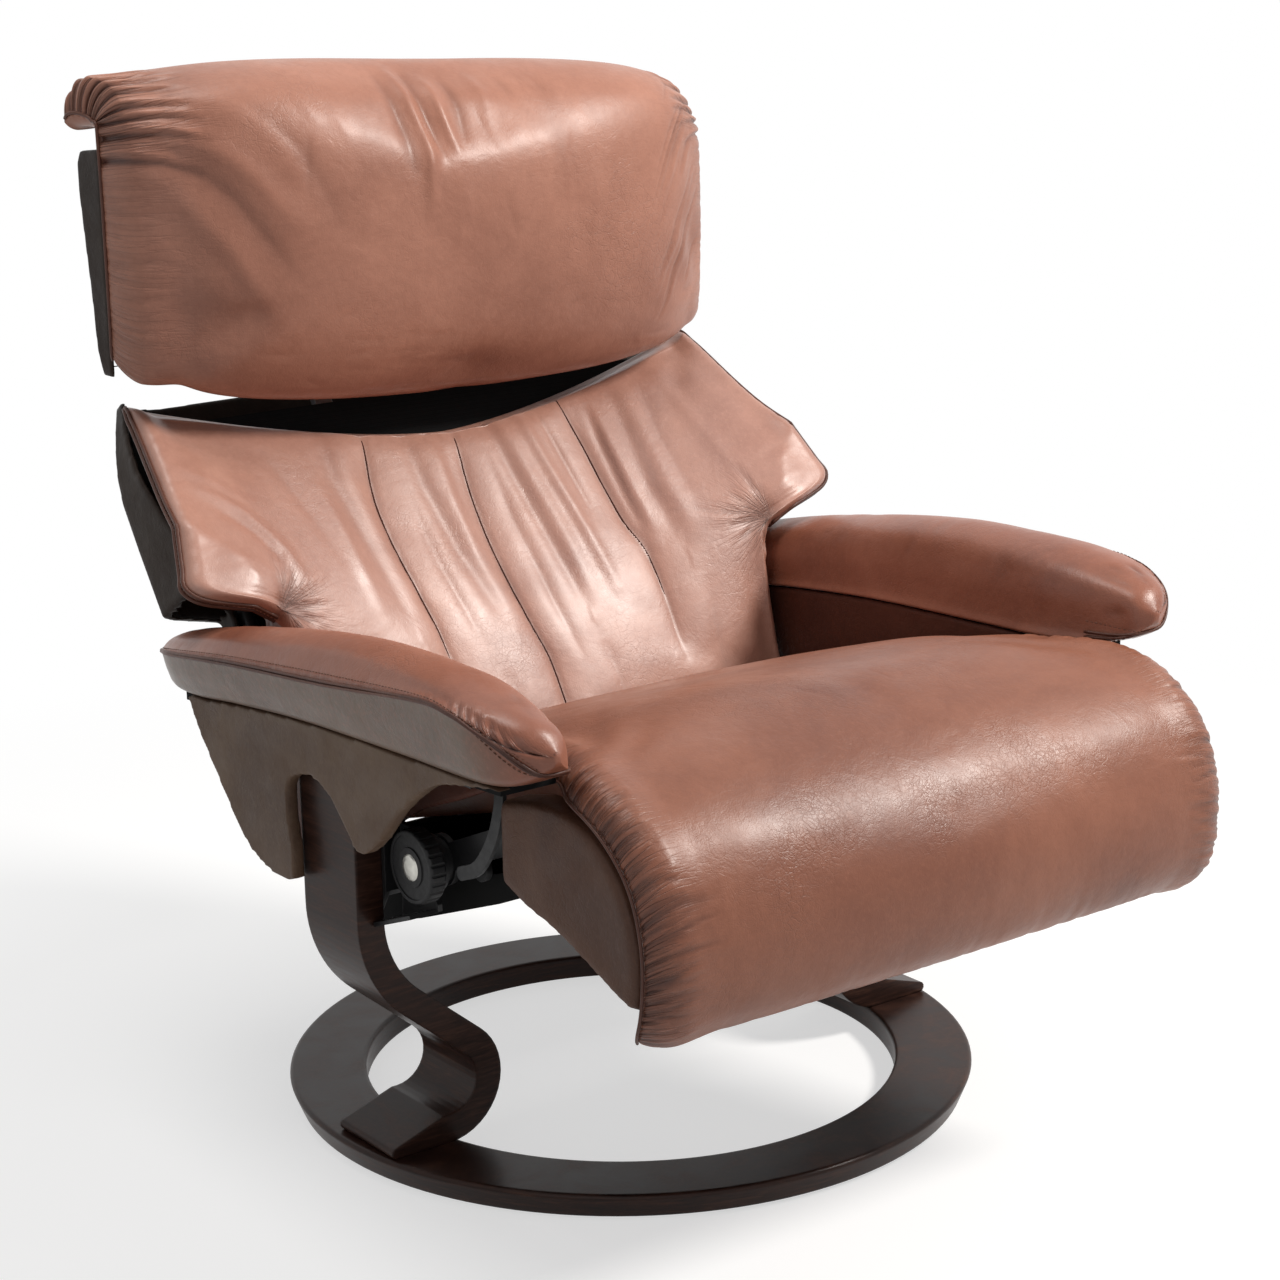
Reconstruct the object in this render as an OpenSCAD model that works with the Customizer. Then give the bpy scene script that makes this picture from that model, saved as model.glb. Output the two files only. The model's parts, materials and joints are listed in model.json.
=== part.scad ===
// Reclining lounge chair on a swivelling wood ring, with bent laminated legs, a steel tilt
// mechanism with a friction knob on each side, leather cushions and a sliding headrest.
// Millimetres. +Z is up, the front is -Y, the origin is on the swivel axis at floor height.

/* [Base ring] */
// Outer radius of the wood ring
ring_r = 345; // [335:1:360]
// Radius of the hole in the wood ring
ring_in_r = 268; // [262:1:274]
// Height of the ring's top face above the floor
ring_top = 28; // [26:1:32]
// Gap between the wood ring and the floor
ring_gap = 4; // [3:0.5:6]
// How far the outer wall leans in at the bottom
ring_lean = 8; // [4:1:12]
// Radius of the ring's rounded edges
ring_round = 4; // [2:0.5:5]

/* [Swivel bearing] */
// Radius of the ball track
track_r = 306; // [302:1:310]
// Ball diameter
ball_d = 8; // [6:0.5:9]
// Number of balls
ball_count = 18; // [12:1:24]
// Width of the lower race
race_w = 38; // [32:1:42]
// Thickness of the lower race
race_t = 5; // [4:0.5:6]
// Thickness of the ball cage
cage_t = 2; // [1.5:0.25:2.5]

/* [Legs] */
// Distance from a seat rail's inner face to the outer face of the leg beside it
leg_out = 65; // [63:0.5:67]
// Thickness of the laminated strip
leg_t = 28; // [24:1:30]
// Width of the strip
leg_w = 92; // [80:1:100]
// Where the middle of the strip lies, front to back
leg_y = -28; // [-34:1:-24]
// Height of the leg's upper end
leg_top = 398; // [390:1:402]
// Inner radius of the upper bend
knee_r = 100; // [85:1:110]
// Height at which the upper bend starts
knee_z = 266; // [255:1:280]
// Slope of the straight run below the upper bend, in degrees
leg_slope = 40; // [36:1:44]
// Inner radius of the bend above the ring
hook_r = 32; // [26:1:36]
// Distance from the middle to the outer end of the foot
foot_end = 335; // [325:1:338]
// Thickness of the foot at its outer end
foot_tip_t = 11; // [8:1:20]

/* [Tilt mechanism] */
// Pivot of the seat, front to back
pivot_y = -125; // [-130:1:-120]
// Height of the pivot of the seat
pivot_z = 331; // [327:1:334]
// Radius of the tilt axle
axle_r = 8; // [7:0.5:9]
// Radius of the friction knobs
knob_r = 35; // [30:1:36]
// Thickness of a friction knob
knob_t = 17; // [15:1:20]
// Radius of the plain cap on a knob
cap_r = 12.5; // [10:0.5:15]
// Thickness of the leg brackets
bracket_t = 5; // [4:0.5:6]
// Radius of the pivot bush
bush_r = 21; // [18:1:23]
// Thickness of the seat rails
rail_t = 6; // [5:0.5:7]
// Gap between the seat cushion and the inner face of a seat rail
rail_gap = 5; // [5:0.5:6]
// Radius of the back hinge pins
pin_r = 6; // [5:0.5:7]
// Running clearance between a shaft and its bore
fit = 0.05; // [0.03:0.01:0.1]
// Gap between parts that turn past each other
play = 0.3; // [0.25:0.05:0.5]

/* [Seat] */
// Half width of the seat between the arms
seat_half = 291; // [284:1:300]
// Half width of the seat in front of the arms
seat_front_half = 337; // [325:1:345]
// Thickness of the seat cushion at its edges
seat_edge_t = 28; // [22:1:32]
// How much the seat cushion crowns over its edges
seat_crown = 14; // [6:1:18]
// Radius of the seat frame's cross tubes
tube_r = 10; // [8:0.5:11]

/* [Back] */
// Hinge of the back, front to back
hinge_y = 135; // [132:1:138]
// Height of the hinge of the back
hinge_z = 330; // [327:1:333]
// Lean of the back from upright, in degrees
back_lean = 35; // [34:0.5:36]
// Gap between the back cushion and the inner side of the arms
back_gap = 13; // [13:0.5:19]
// Half width of the back cushion over its wing tips
wing_half = 395; // [385:1:400]
// Height of the wing tops above the middle of the cushion's top edge
wing_rise = 76; // [60:1:84]
// Depth of the sewn channels in the back cushion
channel_d = 5; // [2:0.5:7]
// Distance between the sewn channels
channel_pitch = 112; // [95:1:125]

/* [Headrest] */
// Half width of the headrest
head_half = 360; // [350:1:366]
// Distance between the two headrest bars
bar_pitch = 220; // [200:2:240]
// Thickness of the headrest bars
bar_t = 8; // [6:0.5:8]
// Width of the headrest bars
bar_w = 20; // [16:1:24]
// Radius of the headrest tilt pins
head_pin_r = 4; // [3.5:0.25:4.5]

/* [Arms] */
// Width of the arms from their inner side to the outer face of the panels
arm_w = 75; // [74:0.5:79]
// Thickness of the arm panels
panel_t = 12.5; // [11:0.5:13]
// How far the arm pads' piped edge stands out from the panels
pad_out_by = 24; // [18:1:28]
// Gap between the seat cushion and the inner side of the arms
arm_gap = 12; // [12:0.5:13]
// Thickness of the arms' inner lining
lining_t = 6; // [4:0.5:6]

/* [Hidden] */
$fn = 64;

leather = [0.60, 0.40, 0.32];
leather_shade = [0.44, 0.31, 0.24];
stained_wood = [0.13, 0.08, 0.07];
plywood = [0.72, 0.58, 0.40];
black_steel = [0.10, 0.10, 0.11];
bright_steel = [0.62, 0.62, 0.64];
black_plastic = [0.08, 0.08, 0.09];
pale_metal = [0.85, 0.84, 0.78];
black_cloth = [0.05, 0.05, 0.05];

// Places across the chair, from the seat cushion outwards
rail_x = seat_half + rail_gap;
leg_x = rail_x + leg_out;
arm_in_x = seat_half + arm_gap;
back_half = arm_in_x - back_gap;
panel_x = arm_in_x + arm_w;
pad_x = panel_x + pad_out_by;

// Points and outlines
function lerp(a, b, t) = a + (b - a) * t;
function arc(c, r, a0, a1, n) =
    [for (i = [0:n]) c + r * [cos(a0 + (a1 - a0) * i / n), sin(a0 + (a1 - a0) * i / n)]];
// Place of x in a table of [x, value] rows, and a smooth curve through the rows
function row_at(x, p, i = 0) = i >= len(p) - 2 || x < p[i + 1][0] ? i : row_at(x, p, i + 1);
function tangent(p, i) =
    let (a = max(i - 1, 0), b = min(i + 1, len(p) - 1)) (p[b][1] - p[a][1]) / (p[b][0] - p[a][0]);
function curve(x, p) =
    let (i = row_at(x, p), h = p[i + 1][0] - p[i][0], t = (x - p[i][0]) / h)
    (2 * t ^ 3 - 3 * t ^ 2 + 1) * p[i][1] + (t ^ 3 - 2 * t ^ 2 + t) * h * tangent(p, i)
    + (3 * t ^ 2 - 2 * t ^ 3) * p[i + 1][1] + (t ^ 3 - t ^ 2) * h * tangent(p, i + 1);
// A smooth line through points, n steps to each stretch
function through(pts, n) =
    let (rows = [for (i = [0:len(pts) - 1]) [i, pts[i]]])
    [for (k = [0:n * (len(pts) - 1)]) curve(k / n, rows)];
// Unit normal to the left of a line of points at point i
function left_normal(p, i) =
    let (a = p[max(i - 1, 0)], b = p[min(i + 1, len(p) - 1)], d = (b - a) / norm(b - a))
    [-d[1], d[0]];
// Outline of a strip of thickness t, with the line of points in its middle
function strip(p, t) = concat(
    [for (i = [0:len(p) - 1]) p[i] + left_normal(p, i) * t / 2],
    [for (i = [len(p) - 1:-1:0]) p[i] - left_normal(p, i) * t / 2]);

// A profile drawn in the YZ plane, from x0 to x1
module slab(x0, x1) {
    translate([x0, 0, 0]) rotate([90, 0, 90]) linear_extrude(x1 - x0) children();
}
// A round bar along X, at y and z
module rod(x0, x1, y, z, r) {
    translate([x0, y, z]) rotate([0, 90, 0]) cylinder(r = r, h = x1 - x0);
}
// A flat bar between two points of the plane, with round ends
module bar2d(a, b, w) {
    turn = atan2(b[1] - a[1], b[0] - a[0]);
    polygon(concat(arc(a, w / 2, turn + 90, turn + 270, 12), arc(b, w / 2, turn - 90, turn + 90, 12)));
}
// The same piece on both sides of the chair, or on one
module side(s) {
    mirror([s < 0 ? 1 : 0, 0, 0]) children();
}
// The frame of the leaning back: +Z runs up the back, -Y points out of its front
module in_back() {
    translate([0, hinge_y, hinge_z]) rotate([-back_lean, 0, 0]) children();
}
function back_point(s, t) = [hinge_y + s * sin(back_lean) - t * cos(back_lean),
    hinge_z + s * cos(back_lean) + t * sin(back_lean)];

// A closed solid between a front and a rear grid of points
module quilt(front, rear) {
    rows = len(front);
    cols = len(front[0]);
    n = rows * cols;
    function f(r, c) = r * cols + c;
    points = concat([for (r = front) for (p = r) p], [for (r = rear) for (p = r) p]);
    faces = concat(
        [for (r = [0:rows - 2]) for (c = [0:cols - 2]) for (h = [0, 1])
            h == 0 ? [f(r, c), f(r + 1, c), f(r + 1, c + 1)] : [f(r, c), f(r + 1, c + 1), f(r, c + 1)]],
        [for (r = [0:rows - 2]) for (c = [0:cols - 2]) for (h = [0, 1])
            h == 0 ? [n + f(r, c), n + f(r + 1, c + 1), n + f(r + 1, c)]
                : [n + f(r, c), n + f(r, c + 1), n + f(r + 1, c + 1)]],
        [for (r = [0:rows - 2]) for (e = [0, cols - 1]) for (h = [0, 1])
            let (a = f(r, e), b = f(r + 1, e),
                t = h == 0 ? [a, n + b, b] : [a, n + a, n + b])
            e == 0 ? t : [t[0], t[2], t[1]]],
        [for (c = [0:cols - 2]) for (e = [0, rows - 1]) for (h = [0, 1])
            let (a = f(e, c), b = f(e, c + 1),
                t = h == 0 ? [a, b, n + b] : [a, n + b, n + a])
            e == 0 ? t : [t[0], t[2], t[1]]]);
    polyhedron(points, faces, convexity = 6);
}
// A closed solid through rings of points, capped at both ends
module loft(rings) {
    k = len(rings[0]);
    m = len(rings);
    faces = concat(
        [for (r = [0:m - 2]) for (c = [0:k - 1]) for (h = [0, 1])
            let (a = r * k + c, b = r * k + (c + 1) % k)
            h == 0 ? [a, b, b + k] : [a, b + k, a + k]],
        [[for (c = [k - 1:-1:0]) c]],
        [[for (c = [0:k - 1]) (m - 1) * k + c]]);
    polyhedron([for (r = rings) for (p = r) p], faces, convexity = 6);
}

// Swivel bearing and wood ring
ball_r = ball_d / 2;
groove_r = ball_r + 0.2;
groove_d = ball_r / 2;
ball_z = race_t - groove_d + groove_r;
upper_race_z = ball_z + groove_r - groove_d;
upper_race_t = 6;
channel_r = [track_r - race_w / 2 - 4, track_r + race_w / 2 + 4];

module ball_groove() {
    rotate_extrude($fn = 96) translate([track_r, ball_z]) circle(groove_r, $fn = 24);
}
module floor_ring() {
    color(black_plastic) difference() {
        rotate_extrude($fn = 96) translate([track_r - race_w / 2, 0]) square([race_w, race_t]);
        ball_groove();
    }
}
module upper_race() {
    color(bright_steel) difference() {
        rotate_extrude($fn = 96) translate([track_r - race_w / 2, upper_race_z])
            square([race_w, upper_race_t]);
        ball_groove();
    }
}
module each_ball() {
    for (i = [0:ball_count - 1]) rotate(360 * i / ball_count) translate([track_r, 0, ball_z]) children();
}
module bearing_balls() {
    color(bright_steel) each_ball() sphere(ball_r, $fn = 16);
}
module ball_cage() {
    color(black_plastic) difference() {
        rotate_extrude($fn = 96) translate([track_r - ball_d, ball_z - cage_t / 2])
            square([2 * ball_d, cage_t]);
        each_ball() cylinder(r = ball_r + 0.15, h = 4 * cage_t, center = true, $fn = 24);
    }
}
function ring_profile() = concat(
    [[ring_in_r, ring_gap], [channel_r[0], ring_gap], [channel_r[0], upper_race_z + upper_race_t],
        [channel_r[1], upper_race_z + upper_race_t], [channel_r[1], ring_gap],
        [ring_r - ring_lean, ring_gap]],
    arc([ring_r - ring_round, ring_top - ring_round], ring_round, 0, 90, 5),
    arc([ring_in_r + ring_round, ring_top - ring_round], ring_round, 90, 180, 5));
screw_r = 4;
screw_x = foot_end - 32;
screw_pitch = leg_w - 40;
module each_foot_screw() {
    for (s = [-1, 1]) for (y = [-0.5, 0.5])
        translate([s * screw_x, leg_y + y * screw_pitch, 0]) children();
}
module base_ring() {
    color(stained_wood) difference() {
        rotate_extrude($fn = 128) polygon(ring_profile());
        each_foot_screw() cylinder(r = screw_r, h = ring_top + 1);
    }
}

// Legs: one strip of bent laminate each side, drawn as a profile and given its width
hook_out_r = hook_r + leg_t;
knee_c = [leg_x - leg_t - knee_r, knee_z];
knee_end = knee_c + knee_r * [cos(90 - leg_slope), -sin(90 - leg_slope)];
hook_c_z = ring_top + hook_out_r;
// The hook touches the straight run, whose normal points up and inwards
run_n = [-sin(leg_slope), cos(leg_slope)];
hook_c_x = knee_end[0] - (hook_out_r - (knee_end[1] - hook_c_z) * run_n[1]) / run_n[0];
hook_c = [hook_c_x, hook_c_z];
foot_taper_x = hook_c_x + 6;
leg_round = 5;
function leg_profile() = concat(
    arc([leg_x - leg_t + leg_round, leg_top - leg_round], leg_round, 180, 90, 3),
    arc([leg_x - leg_round, leg_top - leg_round], leg_round, 90, 0, 3),
    arc(knee_c, knee_r + leg_t, 0, leg_slope - 90, 14),
    arc(hook_c, hook_r, 90 + leg_slope, 270, 12),
    [[foot_taper_x, hook_c_z - hook_r]],
    arc([foot_end - foot_tip_t / 2, ring_top + foot_tip_t / 2], foot_tip_t / 2, 90, -90, 5),
    arc(hook_c, hook_out_r, 270, 90 + leg_slope, 16),
    arc(knee_c, knee_r, leg_slope - 90, 0, 12));

bolt_r = 4;
bolt_head_r = 7.5;
bolt_head_t = 4;
bolt_grip = 20;
bolt_places = [[leg_y - 24, leg_top - 26], [leg_y + 24, leg_top - 26], [leg_y, leg_top - 84]];
module each_bolt(s) {
    for (p = bolt_places) side(s) translate([leg_x - leg_t, p[0], p[1]]) rotate([0, 90, 0]) children();
}
module leg(s) {
    color(stained_wood) difference() {
        side(s) translate([0, leg_y + leg_w / 2, 0]) rotate([90, 0, 0])
            linear_extrude(leg_w) polygon(leg_profile());
        each_bolt(s) cylinder(r = bolt_r, h = bolt_grip, $fn = 32);
        each_foot_screw() translate([0, 0, ring_top - 1]) cylinder(r = screw_r, h = foot_tip_t - 2);
    }
}
module leg_left() {
    leg(-1);
}
module leg_right() {
    leg(1);
}
module foot_screws() {
    channel_top = upper_race_z + upper_race_t;
    color(black_steel) each_foot_screw() translate([0, 0, channel_top])
        cylinder(r = screw_r, h = ring_top + foot_tip_t - 3 - channel_top, $fn = 32);
}

// Brackets: a plate on the leg's inner face, joggled inwards to a plate that holds the axle
plate_out_x = leg_x - leg_t;
plate_in_x = plate_out_x - 18;
leg_front = leg_y - leg_w / 2;
boss_r = 27;
flange_w = 30;
flange_a = [leg_front - 1.2, pivot_z - 66];
flange_b = [pivot_y - 12, pivot_z - 42];
module leg_bracket(s) {
    color(black_steel) difference() {
        side(s) union() {
            slab(plate_out_x - bracket_t, plate_out_x) polygon([[leg_front - bracket_t, pivot_z - 36],
                [leg_front + 8, pivot_z - 58], [leg_y, leg_top - 100], [leg_y + 38, leg_top - 40],
                [leg_y + 38, leg_top - 14], [leg_front + 6, leg_top - 14],
                [leg_front - bracket_t, leg_top - 34]]);
            slab(plate_in_x - bracket_t, plate_out_x - bracket_t)
                polygon([[leg_front - bracket_t, pivot_z - 36], [leg_front, pivot_z - 42],
                    [leg_front, pivot_z + 30], [leg_front - bracket_t, pivot_z + 27]]);
            slab(plate_in_x - bracket_t, plate_in_x) {
                translate([pivot_y, pivot_z]) circle(boss_r);
                polygon([[pivot_y - 4, pivot_z - boss_r + 0.5], [leg_front - bracket_t, pivot_z - 36],
                    [leg_front - bracket_t, pivot_z + 27], [pivot_y, pivot_z + boss_r - 0.2]]);
            }
            slab(plate_in_x, plate_in_x + flange_w)
                polygon(strip([flange_b, flange_a], bracket_t - 1));
            slab(plate_in_x - bracket_t, plate_in_x) polygon([flange_b + [0, -1.5], flange_a + [-2, 0],
                [leg_front - bracket_t, pivot_z - 34], [pivot_y - 4, pivot_z - boss_r + 2],
                flange_b + [0, 5]]);
        }
        each_bolt(s) translate([0, 0, -2 * bracket_t]) cylinder(r = bolt_r, h = 3 * bracket_t, $fn = 32);
        rod(-leg_x, leg_x, pivot_y, pivot_z, axle_r);
    }
}
module leg_bracket_left() {
    leg_bracket(-1);
}
module leg_bracket_right() {
    leg_bracket(1);
}
module bracket_bolts() {
    color(bright_steel) for (s = [-1, 1]) each_bolt(s) {
        translate([0, 0, -bracket_t]) cylinder(r = bolt_r, h = bracket_t + bolt_grip - 1, $fn = 32);
        translate([0, 0, -bracket_t - bolt_head_t]) cylinder(r = bolt_head_r, h = bolt_head_t, $fn = 6);
    }
}

// Axle and knobs
axle_end = plate_in_x + 14;
knob_face = plate_in_x + 3 + knob_t;
module tilt_axle() {
    color(bright_steel) rod(-axle_end, axle_end, pivot_y, pivot_z, axle_r);
}
cap_t = 2;
knob_flutes = 24;
module knob_profile() {
    difference() {
        union() {
            translate([0, plate_in_x + play]) square([15, 6]);
            translate([0, knob_face - knob_t]) square([knob_r - 3, knob_t]);
            translate([0, knob_face - knob_t + 3]) square([knob_r, knob_t - 6]);
            translate([knob_r - 3, knob_face - 3]) circle(3, $fn = 24);
            translate([knob_r - 3, knob_face - knob_t + 3]) circle(3, $fn = 24);
        }
        translate([-1, 0]) square([axle_r + fit + 1, axle_end + play]);
        translate([cap_r + 6, knob_face - 1.2]) square([knob_r - cap_r - 11, 2]);
        translate([-1, knob_face - cap_t]) square([cap_r + 1, cap_t + 1]);
        translate([-2 * knob_r, 0]) square([2 * knob_r, 2 * leg_x]);
    }
}
module tilt_knob(s) {
    color(black_plastic) difference() {
        side(s) translate([0, pivot_y, pivot_z]) rotate([0, 90, 0]) rotate_extrude($fn = 72) knob_profile();
        for (i = [0:knob_flutes - 1]) translate([0, pivot_y, pivot_z]) rotate([360 * i / knob_flutes, 0, 0])
            rod(s > 0 ? knob_face - knob_t : -knob_face, s > 0 ? knob_face : knob_t - knob_face,
                0, knob_r + 1.4, 2.4);
    }
}
module tilt_knob_left() {
    tilt_knob(-1);
}
module tilt_knob_right() {
    tilt_knob(1);
}
module knob_cap(s) {
    color(pale_metal) side(s) translate([knob_face - cap_t, pivot_y, pivot_z]) rotate([0, 90, 0])
        rotate_extrude($fn = 48) polygon([[0, 0], [cap_r, 0], [cap_r, cap_t], [cap_r - 1.5, cap_t + 0.9],
            [cap_r - 5, cap_t + 1.6], [0, cap_t + 2]]);
}
module knob_cap_left() {
    knob_cap(-1);
}
module knob_cap_right() {
    knob_cap(1);
}

// Seat frame
front_tube = [-240, 381];
rear_tube = [45, 298];
pivot = [pivot_y, pivot_z];
hinge = [hinge_y, hinge_z];
stay_foot = [-187, 339];
rail_out_x = rail_x + rail_t;
module seat_rail(s) {
    color(black_steel) difference() {
        side(s) slab(rail_x, rail_out_x) {
            bar2d(front_tube, pivot, 26);
            bar2d(pivot, hinge, 32);
            bar2d(rear_tube, rear_tube + [10, 34], 26);
            translate(pivot) circle(24);
            translate(stay_foot) circle(12);
        }
        rod(-leg_x, leg_x, pivot_y, pivot_z, axle_r + fit);
        rod(-leg_x, leg_x, hinge_y, hinge_z, pin_r + fit);
        for (p = [[-60, 331], [10, 331], [75, 330]]) rod(-leg_x, leg_x, p[0], p[1], 9);
    }
}
module seat_rail_left() {
    seat_rail(-1);
}
module seat_rail_right() {
    seat_rail(1);
}
module pivot_bush(s) {
    color(black_plastic) difference() {
        side(s) rod(rail_out_x, plate_in_x - bracket_t - play, pivot_y, pivot_z, bush_r);
        rod(-leg_x, leg_x, pivot_y, pivot_z, axle_r + fit);
    }
}
module pivot_bush_left() {
    pivot_bush(-1);
}
module pivot_bush_right() {
    pivot_bush(1);
}
module seat_front_tube() {
    color(black_steel) rod(-rail_x, rail_x, front_tube[0], front_tube[1], tube_r);
}
module seat_rear_tube() {
    color(black_steel) rod(-rail_x, rail_x, rear_tube[0], rear_tube[1], tube_r);
}

// A wire that runs through points, as one tube with six sides
module wire(p, r) {
    loft([for (i = [0:len(p) - 1])
        let (d = p[min(i + 1, len(p) - 1)] - p[max(i - 1, 0)], n = d / norm(d),
            a = cross(n, [0.3, 0.2, 1]), u = a / norm(a), v = cross(n, u))
        [for (k = [0:5]) p[i] + r * (cos(60 * k) * u - sin(60 * k) * v)]]);
}
// A zigzag spring from a to b, waving by w to each side along the X axis or the back's Z axis
function zigzag(a, b, waves, w, across) =
    [for (i = [0:waves * 8]) lerp(a, b, i / (waves * 8)) + across * w * sin(i * 45)];
spring_wire_r = 1.9;
spring_pitch = seat_half * 130 / 291;
spring_up = tube_r + spring_wire_r + play;
// Height of the springs' upper side at y
function spring_top(y) = spring_up + spring_wire_r
    + lerp(front_tube[1], rear_tube[1], (y - front_tube[0] - 1) / (rear_tube[0] - front_tube[0]));
module seat_springs() {
    color(bright_steel) for (i = [-1.5:1:1.5]) wire(zigzag(
        [i * spring_pitch, front_tube[0] + 1, front_tube[1] + spring_up],
        [i * spring_pitch, rear_tube[0] + 1, rear_tube[1] + spring_up],
        5, 20, [1, 0, 0]), spring_wire_r);
}

// Seat cushion: its top and its underside, from the crease at the back, over the front roll and
// down to the lip, as [step, [y, z]]
seat_top = [[0, [80, 370]], [1, [40, 390]], [2, [-40, 418]], [3, [-130, 446]], [4, [-220, 472]],
    [5, [-300, 487]], [6, [-370, 488]], [7, [-428, 470]], [8, [-474, 432]], [9, [-497, 380]],
    [10, [-503, 325]], [11, [-494, 278]], [12, [-472, 250]]];
seat_under = concat(
    [for (i = [0:4]) let (y = [62, 25, -55, -145, -243][i]) [i, [y, spring_top(y) + play]]],
    [[5, [-298, 399]], [6, [-350, 394]], [7, [-390, 380]], [8, [-418, 355]], [9, [-432, 325]],
        [10, [-436, 298]], [11, [-440, 272]], [12, [-450, 254]]]);
seat_steps = 24;
// Half width along the cushion: narrow between the arms, wide in front of them
function seat_w(k) = curve(k, [[0, seat_half - 3], [3.4, seat_half], [4.4, seat_half + 4],
    [5.3, seat_half + 17], [6, lerp(seat_half, seat_front_half, 0.85)], [6.6, seat_front_half - 1],
    [8.5, seat_front_half], [11, seat_front_half - 2], [12, seat_front_half - 6]]);
seat_cols = [-1, -0.985, -0.94, -0.885, -0.86, -0.7, -0.5, -0.25, 0,
    0.25, 0.5, 0.7, 0.86, 0.885, 0.94, 0.985, 1];
function seat_point(k, u, depth) =
    let (a = curve(k, seat_top), b = curve(k, seat_under), d = (b - a) / norm(b - a),
        drop = seat_crown * (0.35 * u ^ 2 + 0.65 * abs(u) ^ 9),
        inner = abs(u) <= 0.86,
        full = norm(b - a),
        thin = min(full, seat_crown + seat_edge_t * (abs(u) > 0.99 ? 0.75 : 1)),
        q = a + d * (depth == 0 ? drop : inner ? full : thin))
    [u * seat_w(k), q[0], q[1]];
module seat_cushion() {
    grid = [for (depth = [0, 1]) [for (i = [0:seat_steps]) [for (u = seat_cols)
        seat_point(12 * i / seat_steps, u, depth)]]];
    color(leather) quilt(grid[1], grid[0]);
}

// Padded side of the seat's front, under the cushion's overhang
seat_side_t = 38.25;
seat_side_x = seat_front_half - 3;
module seat_side(s) {
    outline = concat([[-265, 356], [-265, 428]], through([[-302, 437], [-350, 441], [-396, 430],
        [-432, 401], [-455, 357], [-459, 316], [-452, 291]], 3), [[-430, 298], [-354, 330], [-297, 343]]);
    color(leather_shade) side(s) loft([for (k = [4:-1:0])
        let (f = [0.9, 1, 1, 0.985, 0.93][k], x = seat_side_x - seat_side_t * [1, 0.93, 0.3, 0.08, 0][k])
        [for (p = outline) [x, -360 + (p[0] + 360) * f, 378 + (p[1] - 378) * f]]]);
}
module seat_side_left() {
    seat_side(-1);
}
module seat_side_right() {
    seat_side(1);
}

// Cloth tray under the seat frame, hung between the two cross tubes
cover_half = seat_half - 7;
cloth_t = 2.5;
cover_floor = [[front_tube[0] - 1, front_tube[1] - tube_r - play], [front_tube[0] - 14, 332],
    [-190, 304], [-60, 254], [16, 229], [44, 240], [rear_tube[0], rear_tube[1] - tube_r - play]];
module dust_cover() {
    wall = concat([for (p = cover_floor) p], [[28, 272], [-60, 298], [-150, 318], [-205, 336]]);
    color(black_cloth) {
        slab(-cover_half, cover_half) polygon(strip(cover_floor, cloth_t));
        for (s = [-1, 1]) side(s) slab(cover_half - cloth_t, cover_half) polygon(wall);
    }
}

// Arms: a plywood board between an outer panel and an inner lining, with a pad on top
pad_under = [[-378, 476], [-339, 466], [-287, 462], [-186, 459], [-27, 453], [100, 442], [163, 434],
    [236, 430]];
pad_seam = [[-378, 484], [-350, 503], [-315, 520], [-269, 525], [-160, 513], [-60, 501], [60, 490],
    [181, 474], [236, 465]];
pad_crown = [[-378, 492], [-365, 515], [-341, 532], [-300, 543], [-250, 549], [-134, 549], [-65, 543],
    [0, 534], [100, 517], [163, 504], [210, 492], [236, 478]];
pad_in = [[-378, arm_in_x + 41], [-366, arm_in_x + 27], [-334, arm_in_x + 15], [-285, arm_in_x + 4],
    [-240, arm_in_x], [150, arm_in_x],
    [210, arm_in_x + 4], [236, arm_in_x + 16]];
pad_out = [[-378, pad_x - 46], [-366, pad_x - 24], [-345, pad_x - 9], [-310, pad_x], [-200, pad_x], [0, pad_x],
    [150, pad_x - 2], [205, pad_x - 8], [236, pad_x - 22]];
pad_stations = [-378, -373, -366, -354, -338, -315, -285, -240, -180, -110, -40, 30, 90, 140, 180, 208,
    226, 236];
function pad_ring(y) =
    let (a = curve(y, pad_under), m = curve(y, pad_seam), c = curve(y, pad_crown),
        i = curve(y, pad_in), o = curve(y, pad_out), w = o - i)
    [for (p = [[i + 0.05 * w, a], [o - 0.26 * w, a], [o - 0.09 * w, lerp(a, m, 0.42)],
        [o - 0.01 * w, m - 2], [o, m + 3], [o - 0.035 * w, lerp(m, c, 0.4)],
        [o - 0.13 * w, lerp(m, c, 0.75)], [o - 0.28 * w, lerp(m, c, 0.94)], [o - 0.46 * w, c],
        [i + 0.34 * w, c - 0.05 * (c - a)], [i + 0.16 * w, c - 0.15 * (c - a)],
        [i + 0.05 * w, c - 0.31 * (c - a)], [i, lerp(a, c, 0.42)], [i, lerp(a, c, 0.12)]])
        [p[0], y, p[1]]];
module arm_pad(s) {
    color(leather) side(s) loft([for (i = [0:len(pad_stations) - 1]) pad_ring(pad_stations[i])]);
}
module arm_pad_left() {
    arm_pad(-1);
}
module arm_pad_right() {
    arm_pad(1);
}
function under_line(y0, y1, n, drop) = [for (i = [0:n])
    let (y = lerp(y0, y1, i / n)) [y, curve(y, pad_under) - drop]];
panel_in_x = panel_x - panel_t;
board_t = 12;
board_front = -318;
board_rear = 218;
module arm_board(s) {
    color(plywood) side(s) slab(arm_in_x + lining_t, panel_in_x) polygon(concat(
        under_line(board_front, board_rear, 12, 2 * play), under_line(board_rear, board_front, 12, board_t)));
}
module arm_board_left() {
    arm_board(-1);
}
module arm_board_right() {
    arm_board(1);
}
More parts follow.
